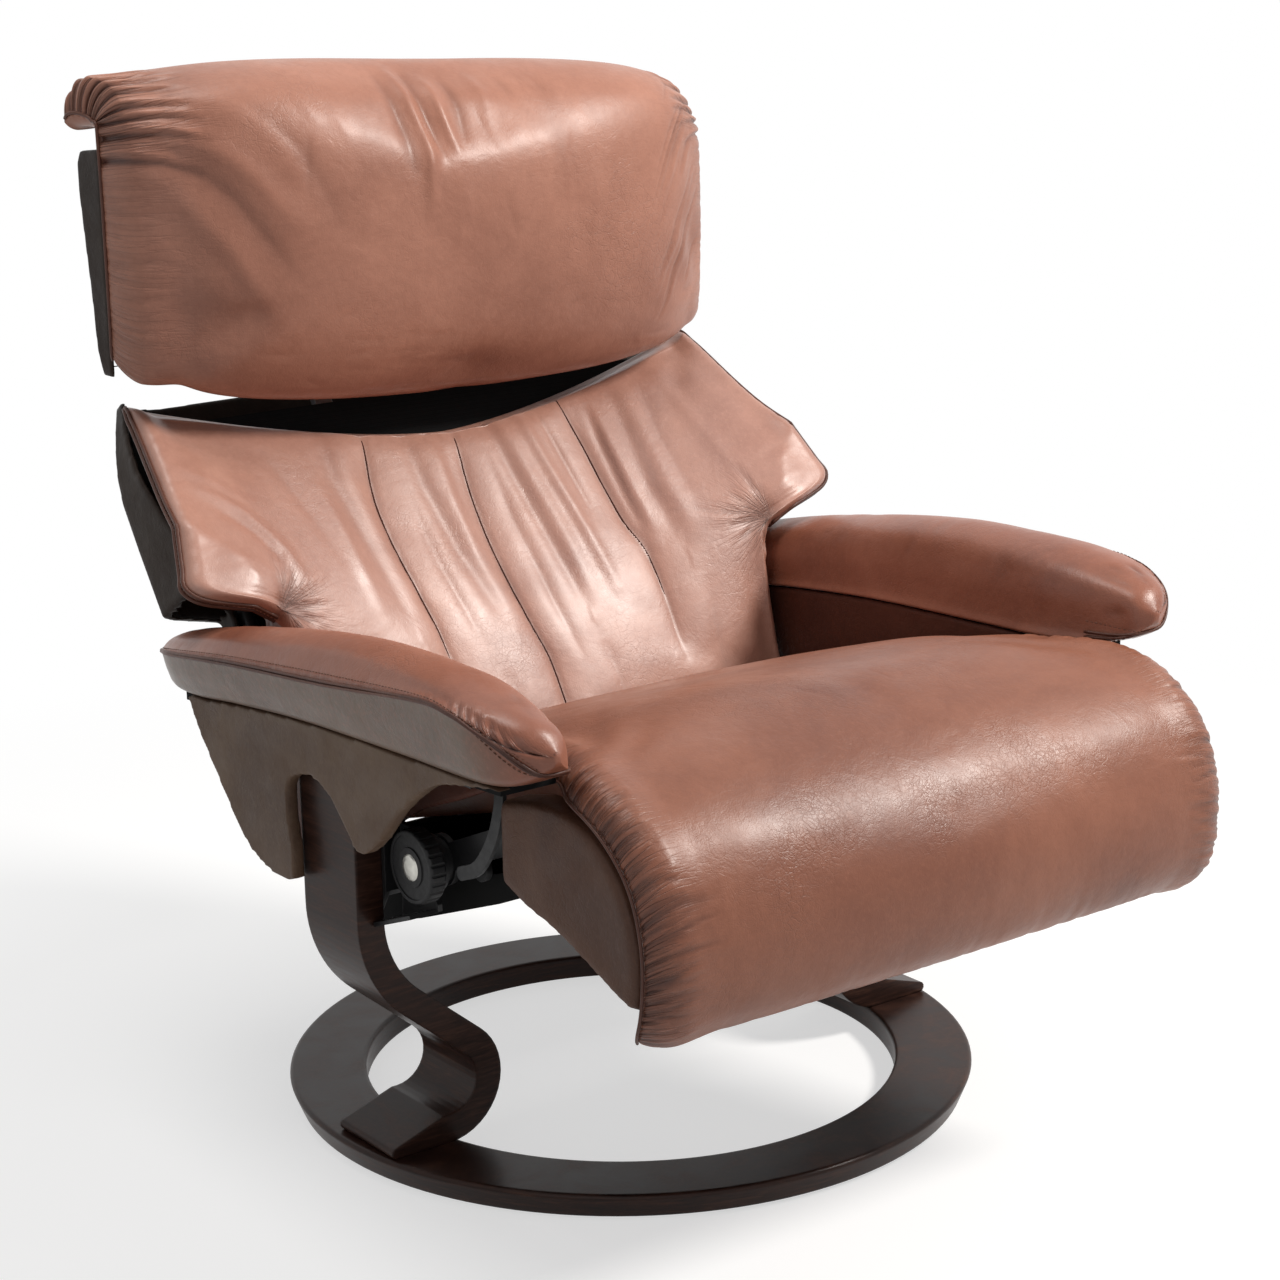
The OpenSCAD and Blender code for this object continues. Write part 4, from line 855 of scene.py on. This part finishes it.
# Each set of creases paints shade into its hollows at its own strength, and a painted highlight on ridges.
for lines, dark in ((narrow, 0.4), (wide, 0.0), (folds, 0.16), (notch, 0.5), (wing, 0.3)):
    h, d = creases(flat, lines)
    if lines is notch:
        h, d = 3.4 * np.tanh(h / 3.4), 0.9 * np.tanh(d)
    high += h
    deep += dark * d
raise_by(back, high * front)
notch_x, notch_s = BACK_HALF + 8 - np.abs(bx), bs - NOTCH_S - 1
notch_far = np.hypot(notch_x, notch_s)
turn = np.degrees(np.arctan2(notch_s, notch_x)) * 0.9 + 300 * (bx > 0)
pull = np.exp(-notch_far / 26) * smooth(notch_x, -4, 8) * front
mark(back, deep * front, None, turn, notch_far, 0.9 * pull)
finish_piece(back, BACK, "back", "back_cushion")
welts = []
for line, start in zip(seams, (0, 90, 90)):
    s = line[:, 1] - line[0, 1]
    lifts = 0.2 - 2.6 * (1 - smooth(s, start * 0.2, start + 12))
    welts.append(tube(even(surface_line(back, flat, front, line[1:-1], lifts[1:-1]), 5), 0.8, 6))
trim("back_channel_seams", welts, INNER, "back")


def wing_edge(side, out, fore):
    """A line along a wing's edge, out from it, and fore of the middle of its thickness."""
    rows = np.r_[np.linspace(146, 190, 24), np.linspace(194, BACK_TOP - 2, 40)]
    u, v = np.full(len(rows), float(side)), (rows - BACK_LOW) / BACK_LONG
    x, s, t = back_st(v, u, False)
    return lean(x + side * out, s, lerp(t, back_st(v, u, True)[2], 0.6 - fore))


lines = [wing_edge(side, 0.2, fore) for side in (-1, 1) for fore in (0.2, -0.12)]
trim("back_wing_piping", [tube(even(line, 5), 2.1, 8) for line in lines], PIPING, "back")
trim("back_wing_stitches", [stitches(wing_edge(side, 0.9, 0.04), 3.2) for side in (-1, 1)], THREAD, "back")

# ---- headrest ----
HEAD_HALF, HEAD_SEAM_AT = 360, 0.7
HEAD_FRONT = numbered([
    [320, 670], [284, 657], [250, 668], [231, 710], [222, 770], [220, 830], [222, 890],
    [229, 942], [248, 980], [282, 999], [326, 1003], [370, 998], [397, 981], [403, 957],
])
HEAD_INNER = numbered([
    [331, 690], [322, 702], [320, 716], [322, 745], [326, 790], [330, 840], [336, 890],
    [342, 925], [346, 945], [352, 956], [362, 960], [373, 961], [383, 958], [391, 951],
])
HEAD_EDGE_FRONT = numbered([
    [341, 702], [337, 698], [331, 700], [326, 722], [324, 775], [324, 830], [325, 885],
    [328, 925], [333, 950], [346, 972], [362, 984], [380, 987], [393, 981], [399, 966],
])
HEAD_EDGE_INNER = numbered([
    [346, 712], [346.5, 714], [347, 718], [347.6, 738], [347.6, 785], [347.6, 835], [347.6, 885],
    [347.6, 922], [347.6, 951], [354, 960], [364, 962], [376, 963], [385, 962], [391, 958],
])
head_fine = np.linspace(0, 13, 521)
head_arc = along_line(curve(head_fine, HEAD_FRONT))
HEAD_LONG = head_arc[-1]


def head_at(k):
    """How far along the headrest's front row k of its tables lies."""
    return float(np.interp(k, head_fine, head_arc))


def head_bow(k, u, rear):
    """The lower edge bows up at the corners, the right top corner is rounded, and the left sits higher."""
    low = (1 + 27 * u**2) * np.clip(1 - k / 4.5, 0, 1)
    fade = np.clip((k - 6) / 2, 0, 1)
    right_side = 12 * np.clip(u, 0, 1) ** 1.3 + 22 * np.clip(u, 0, 1) ** 7
    left_side = 16 * smooth(-u, -0.15, 0.7) * (0.5 + 0.5 * smooth(k, 3, 7))
    if rear:
        left_side = left_side - 20 * smooth(-u, 0.6, 1) * smooth(k, 7.6, 9)
    return low + left_side - fade * right_side


def head_point(v, u, rear):
    k = np.interp(v * HEAD_LONG, head_arc, head_fine)
    f = (1 - (1 - np.minimum(np.abs(u), 0.9995) ** 4.4) ** 0.62)[..., None]
    middle, edge = (HEAD_INNER, HEAD_EDGE_INNER) if rear else (HEAD_FRONT, HEAD_EDGE_FRONT)
    q = lerp(curve(k, middle), curve(k, edge), f)
    x = u * (HEAD_HALF - 9 * np.maximum(0, 1 - k / 3) ** 2 - 9 * smooth(u, 0.2, 1))
    x = x - 8 * smooth(-u, 0.75, 1) * smooth(k, 9, 12)
    return np.stack([x, q[..., 0], q[..., 1] + head_bow(k, u, rear)], -1)


head, info = pillow(
    "headrest_cushion_leather", head_point, HEAD_LONG, width=2 * HEAD_HALF, r_side=13, r_end=9, seam_at=HEAD_SEAM_AT,
)
inner = info["front"] * smooth(1 - np.abs(info["u"]), 0, 0.12)
inflate(head, info["edge"] ** 2, cap=9, start=7, weight=inner)
info = refine(head, info)
front = info["front"] > 0.6
flat = np.stack([info["u"] * HEAD_HALF, info["v"] * HEAD_LONG], 1)
top_at, low_at = head_at(8.6), head_at(2.6)
rng = np.random.default_rng(23)
draw = rng.uniform
# Large pulls, each as [across, from the top] points
lines = [([[x, top_at + a] for x, a in path], *rest) for path, *rest in (
    ([[-66, 26], [-62, -40], [-56, -90], [-60, -150]], 7, 4.2, "ridge"),
    ([[-48, 20], [-46, -40], [-38, -100]], 6, 3.8, "valley"),
    ([[-30, 10], [-26, -50], [-20, -96]], 7, 3.8, "ridge"),
    ([[-84, 16], [-80, -60], [-76, -120]], 8, 2.8, "valley"),
    ([[-8, 14], [-4, -40], [-8, -80]], 7, 2.4, "valley"),
    ([[26, 20], [34, -40]], 7, 1.3, "ridge"),
    ([[60, 10], [66, -36]], 8, 1.1, "valley"),
    ([[-340, -40], [-262, -100], [-200, -170]], 13, 2.4, "ridge"),
    ([[-342, -66], [-270, -134], [-214, -210]], 11, 2.6, "valley"),
    ([[-342, -100], [-276, -180], [-226, -260]], 13, 2.4, "ridge"),
    ([[-250, -30], [-200, -90], [-160, -170]], 14, 1.5, "valley"),
    ([[-300, -10], [-240, -60], [-190, -130]], 14, 1.3, "ridge"),
)]
# Fine slanting creases at the right
for i in range(17):
    x, a = 344 - draw(0, 46), top_at - 14 * i + draw(-8, 26)
    long = draw(46, 130)
    path = [[x, a], [x - 0.42 * long, a - 0.55 * long], [x - 0.7 * long, a - long]]
    lines.append((path, draw(1.8, 3.6), draw(0.5, 1.7), rng.choice(["valley", "valley", "fold"])))
gathers = []
for side in (-1, 1):
    # The flap's end is gathered into its seam
    for i in range(11):
        a = head_at(6.7 + 0.54 * i) + draw(-3, 3)
        x, long = side * (HEAD_HALF + 1), draw(58, 80)
        rise = -26 + 3.4 * i
        path = [[x, a], [x - side * long * 0.5, a + rise * 0.3], [x - side * long, a + rise]]
        gathers.append((path, 4.6, draw(4.5, 6.5), "fan"))
        gathers.append(([[x, a + 10], [x - side * long * 0.9, a + 10 + rise]], 6, 2.4, "ridge"))
    for i in range(40):
        a = 24 + i * (HEAD_LONG - 40) / 40 + draw(-4, 4)
        long, x = draw(12, 38), side * (HEAD_HALF - 2)
        lines.append(([[x, a], [x - side * long, a + draw(-10, 10)]], draw(2, 3.8), draw(0.4, 1.5), "fan"))
for i in range(26):
    x, a = draw(-320, 320), draw(low_at - 30, low_at + 70)
    lines.append(([[x, a], [x + draw(20, 70), a + draw(-12, 12)]], draw(2.4, 6), draw(0.25, 0.8), "valley"))
for i in range(16):
    x, a = draw(-200, 300), draw(top_at - 160, top_at)
    path = [[x, a], [x + draw(-14, 24), a - draw(30, 90)]]
    lines.append((path, draw(4, 9), draw(0.3, 0.9), rng.choice(["valley", "ridge"])))
high, deep = creases(flat, lines)
more, dark = creases(flat, gathers)
raise_by(head, (high + more) * front)
end_far = HEAD_HALF - np.abs(flat[:, 0])
in_flap = 0.25 + 0.6 * smooth(flat[:, 1], head_at(6.2), head_at(7.4))
# Painted shade: the pulls' hollows a little, the flap's gathers strongly; a painted highlight on ridges.
mark(head, (0.4 * deep + 1.1 * dark) * front, None, flat[:, 1] * 0.7, end_far, np.exp(-end_far / 34) * in_flap * front)
finish_piece(head, LEATHER, "headrest", "headrest_cushion")
lines = [side_line(head_point, side, HEAD_SEAM_AT, (0.02, 0.98), 90) for side in (-1, 1)]
trim("headrest_seam", [tube(even(line, 5), 1.8, 8) for line in lines], PIPING, "headrest")

# ---- arm pads ----
ARM_IN, PAD_OUT = 303, 402
PAD_FROM, PAD_TO = -378, 236
PAD_SEAM_AT = 4.1  # place of the piped seam round the pad's ring of 14
RING_MM = 9  # length of one such place, in flat points
PAD_UNDER = [
    [-378, 488], [-366, 477], [-339, 467], [-287, 462], [-186, 459], [-27, 453], [100, 442],
    [163, 434], [236, 430],
]
PAD_SEAM = [
    [-378, 495], [-350, 507], [-315, 520], [-269, 525], [-160, 513], [-60, 501], [60, 490],
    [181, 474], [236, 465],
]
PAD_CROWN = [
    [-378, 502], [-365, 520], [-341, 534], [-300, 543], [-250, 549], [-134, 549], [-65, 543],
    [0, 534], [100, 517], [163, 504], [210, 492], [236, 478],
]
PAD_IN = [
    [-378, 344], [-366, 330], [-334, 318], [-285, 307], [-240, ARM_IN], [150, ARM_IN],
    [210, ARM_IN + 4], [236, ARM_IN + 16],
]
PAD_SIDE = [
    [-378, 356], [-366, 378], [-345, 393], [-310, PAD_OUT], [-200, PAD_OUT], [0, PAD_OUT],
    [150, PAD_OUT - 2], [205, PAD_OUT - 8], [236, PAD_OUT - 22],
]


def pad_ring(y):
    a, m, c, i, o = (curve(y, rows) for rows in (PAD_UNDER, PAD_SEAM, PAD_CROWN, PAD_IN, PAD_SIDE))
    w, h = o - i, c - a
    return np.array([[x, y, z] for x, z in (
        [i + 0.05 * w, a], [o - 0.26 * w, a], [o - 0.09 * w, lerp(a, m, 0.42)],
        [o - 0.01 * w, m - 2], [o, m + 3], [o - 0.035 * w, lerp(m, c, 0.4)],
        [o - 0.13 * w, lerp(m, c, 0.75)], [o - 0.28 * w, lerp(m, c, 0.94)], [o - 0.46 * w, c],
        [i + 0.34 * w, c - 0.05 * h], [i + 0.16 * w, c - 0.15 * h],
        [i + 0.05 * w, c - 0.31 * h], [i, a + 0.42 * h], [i, a + 0.12 * h],
    )])


def pad_at(y, j):
    """A point of the pad's surface at y and at place j round its ring of 14."""
    ring = pad_ring(float(np.clip(y, PAD_FROM, PAD_TO)))
    return curve(j, [[k, ring[k % 14]] for k in range(-2, 17)])


AROUND = np.arange(0, 14, 0.25)
STATIONS = np.r_[-378, -377, -375, -372, -368, np.arange(-363, 226, 6), 228, 231, 234, 236]
PAD_RINGS = np.array([pad_at(y, AROUND) for y in STATIONS])
PAD_PIPING = [
    (224, 4.1), (180, 4.1), (60, 4.1), (-100, 4.1), (-250, 4.1), (-300, 4.0), (-330, 3.75),
    (-352, 3.2), (-366, 2.4), (-372, 1.2), (-371, 0.2), (-362, -0.6), (-344, -0.9), (-320, -1.0),
]


def pad_path(side, offset, out):
    """The line of the piping, offset round the ring and lifted out of the surface."""
    pts = []
    for y, j in PAD_PIPING:
        p = pad_at(y, j + offset)
        d = p - PAD_RINGS[int(np.argmin(np.abs(STATIONS - y)))].mean(0)
        d[1] = min(d[1], 0) if y < -340 else 0
        pts.append(p + d / np.linalg.norm(d) * out)
    return np.array(pts) * [side, 1, 1]


n_st, n_ar = len(STATIONS), len(AROUND)
for side, label in ((-1, "left"), (1, "right")):
    draw = np.random.default_rng(33 + side).uniform
    verts = PAD_RINGS.reshape(-1, 3).copy()
    faces = []
    for i in range(0, (n_st - 1) * n_ar, n_ar):
        for j in range(n_ar):
            k = (j + 1) % n_ar
            faces.append([i + j, i + k, i + n_ar + k, i + n_ar + j])
    for end, way in ((0, -1), (n_st - 1, 1)):
        ring = PAD_RINGS[end]
        c = ring.mean(0) + [0, 2 * way, 0]
        start, base = len(verts), end * n_ar
        verts = np.vstack([verts, lerp(ring, c, 0.5) + [0, way, 0], c[None]])
        for j in range(n_ar):
            k = (j + 1) % n_ar
            faces.append([base + j, base + k, start + k, start + j])
            faces.append([start + j, start + k, start + n_ar])
    verts[:, 0] *= side
    pad = new_object("arm_pad_leather_" + label, verts, faces)
    outward(pad)
    yy, jj = np.repeat(STATIONS, n_ar), np.tile(AROUND, n_st)
    extra = len(verts) - len(yy)
    top = smooth(jj, 4.2, 5.5) * (1 - smooth(jj, 12.2, 13.5))
    inside = np.r_[top * smooth(yy, -374, -340) * (1 - smooth(yy, 205, 232)), np.zeros(extra)]
    inflate(pad, 1 - inside, cap=5, start=4, weight=inside)
    # The place round the ring is refined as an angle's cosine and sine, because it starts again
    angle = np.r_[jj, np.full(extra, 2.0)] * 2 * math.pi / 14
    info = refine(pad, {"y": np.r_[yy, verts[len(yy):, 1]], "c": np.cos(angle), "s": np.sin(angle)})
    yy, jj = info["y"], np.arctan2(info["s"], info["c"]) * 7 / math.pi % 14
    lines = []
    y, low = PAD_FROM + 6, RING_MM * 4.2
    while y < -262:
        tip = y < -310
        long = draw(11, 17) * (1 if tip else 0.6)
        deepest = draw(2.6, 4.0) * (1 if tip else 0.45)
        lines.append(([[y, low], [y + 6, low + 0.5 * long], [y + 15, low + long]], 3.2, deepest, "fan"))
        path = [[y + 5.5, RING_MM * 4.3], [y + 20, RING_MM * 4.3 + 0.9 * long]]
        lines.append((path, 3.4, 0.5 * deepest, "ridge"))
        y += draw(10, 13)
    for i in range(10):
        y, j = draw(-372, -330), draw(6.5, 12)
        path = [[y, RING_MM * j], [y + draw(16, 40), RING_MM * (j + draw(-0.4, 0.4))]]
        lines.append((path, draw(2.8, 5), draw(0.4, 1.0), "valley"))
    y = -250
    while y < 225:
        path = [[y, low], [y + draw(-7, 7), RING_MM * (4.2 + draw(0.5, 1.5))]]
        lines.append((path, draw(2.4, 4.5), draw(0.2, 0.8), "fan"))
        path = [[y + 5, RING_MM * 3.7], [y + draw(-7, 7), RING_MM * (3.7 - draw(0.4, 1.2))]]
        lines.append((path, draw(2.4, 4.5), draw(0.2, 0.6), "fan"))
        y += draw(9, 26)
    for i in range(18):
        y, j = draw(-300, 200), draw(6, 12)
        path = [[y, RING_MM * j], [y + draw(12, 40), RING_MM * (j + draw(-1, 1))]]
        lines.append((path, draw(4, 8), draw(0.2, 0.8), "valley"))
    high, deep = creases(np.stack([yy, jj * RING_MM], 1), lines)
    raise_by(pad, high)
    # The outer strip below the piping gets the painted shade colour.
    shaded_strip = smooth(4.15 - jj, 0, 0.35) * smooth(yy, -372, -300)
    seam_far = np.abs(jj - PAD_SEAM_AT) * 22
    # Painted shade along the piped seam, added to the creases' painted shade and highlight.
    seam_groove_shade = np.exp(-(((jj - PAD_SEAM_AT) / 0.16) ** 2))
    weight = np.exp(-seam_far / 15) * (0.15 + 0.6 * smooth(-yy, 285, 330)) * (jj > PAD_SEAM_AT)
    mark(pad, 0.6 * deep + 0.7 * seam_groove_shade, shaded_strip, yy - 0.5 * seam_far, seam_far, weight)
    finish_piece(pad, PAD, "seat", "arm_pad_" + label)
    pipes = [tube(even(pad_path(side, offset, 0.8), 5), 1.5, 8) for offset in (-0.16, 0.16)]
    trim("arm_piping_" + label, pipes, PIPING, "seat")
    trim("arm_stitches_" + label, [stitches(pad_path(side, offset, 0.5)) for offset in (0.62, -0.62)], THREAD, "seat")

# ---- leather over boards: arm panels, linings, seat sides and rear covers ----
# Painted shade: the dark lining hangs lower so that the view through the arch ends on a dark sheet in place of shade.
HEM_DROP = 55  # how far the lining hangs lower than its CAD solid, to close the view through the arch
BOTH = ("_left", "_right")
for node, sides, body, voxel, rounds, material, fill in (
    ("arm_panel", BOTH, "seat", 3.0, 5, PANEL, None),
    ("arm_lining", BOTH, "seat", 2.4, 3, INNER, None),
    ("seat_side", BOTH, "seat", 4.0, 12, SIDE, 0.5),
    ("back_shell", [""], "back", 3.0, 14, SHELL, None),
    ("headrest_shell", [""], "headrest", 3.0, 6, SHELL, None),
):
    for side in sides:
        ob = from_node(node + "_leather" + side, node + side)
        if node == "headrest_shell":
            co = get_co(ob)
            set_co(ob, co + np.outer(smooth(co[:, 2], 840, 930), [0, 0, 8]))
        settle(ob, voxel, rounds)
        if node == "arm_lining":
            co = get_co(ob)
            hem = smooth(co[:, 1], 0, 75) * (1 - smooth(co[:, 1], 120, 200)) * smooth(-co[:, 2], -375, -335)
            set_co(ob, co - np.outer(hem, [0, 0, HEM_DROP]))
        finish_piece(ob, material, body, node + side)

# ---- camera, floor and light ----
CAMERA_AT, CAMERA_ANGLES, LENS = (-1.698, -2.282, 1.215), (-37.0, 14.91, -1.08), 84.375
azimuth, height, roll = (math.radians(a) for a in CAMERA_ANGLES)
view = Vector((math.sin(azimuth) * math.cos(height), -math.cos(azimuth) * math.cos(height), math.sin(height)))
right = Vector((0, 0, 1)).cross(view).normalized()
up = view.cross(right)
turned = Matrix((
    right * math.cos(roll) + up * math.sin(roll), up * math.cos(roll) - right * math.sin(roll), view,
)).transposed()
camera = bpy.data.objects.new("camera", bpy.data.cameras.new("camera"))
camera.data.sensor_width, camera.data.lens = 36.0, LENS
camera.matrix_world = Matrix.Translation(CAMERA_AT) @ turned.to_4x4()
scene.collection.objects.link(camera)
scene.camera = camera

# The floor is white where it is seen, and keeps a shadow that fades out around the object
n = Nodes("floor_look")
n.set(Base_Color=(0.8, 0.8, 0.8), Roughness=0.9)
near = n.both("AddShader", n.add("Emission", Strength=0.6), n.add("BsdfDiffuse", Color=(0.5, 0.5, 0.5)))
away = n.add("VectorMath", Vector=n.place)
away.operation = "LENGTH"
fade = n.span(away.outputs["Value"], 0.75, 1.7, 0, 1)
n.show(n.both("MixShader", near, n.add("Emission", Strength=1.0), Fac=fade))
FAR = 12000
floor = new_object("floor", [(x * FAR, y * FAR, 0) for x, y in ((-1, -1), (1, -1), (1, 1), (-1, 1))], [(0, 1, 2, 3)])
floor.location.z = -0.0004
floor.data.materials.append(n.made)

# The world lights softly, and is white where it is seen
n = Nodes("studio", bpy.data.worlds)
scene.world = n.set(Color=(0.97, 0.98, 1.0), Strength=0.2)
n.show(n.add("Background", Color=(1, 1, 1)))


def lamp(name, place, aim, width, power, colour):
    data = bpy.data.lights.new(name, "AREA")
    data.shape, data.size, data.energy, data.color = "DISK", width, power, colour
    ob = bpy.data.objects.new(name, data)
    ob.location = place
    ob.rotation_mode = "QUATERNION"
    ob.rotation_quaternion = (Vector(aim) - Vector(place)).to_track_quat("-Z", "Y")
    scene.collection.objects.link(ob)


lamp("key", (1.95, -1.7, 2.75), (0, 0, 0.6), 0.8, 118, (1.0, 0.96, 0.91))
lamp("fill", (-3.2, -2.4, 1.9), (0, 0, 0.5), 2.2, 9, (0.94, 0.97, 1.0))
lamp("top", (-0.5, 0.3, 3.6), (0, 0, 0.7), 1.2, 38, (1.0, 0.98, 0.95))

scene.view_settings.view_transform = "Standard"
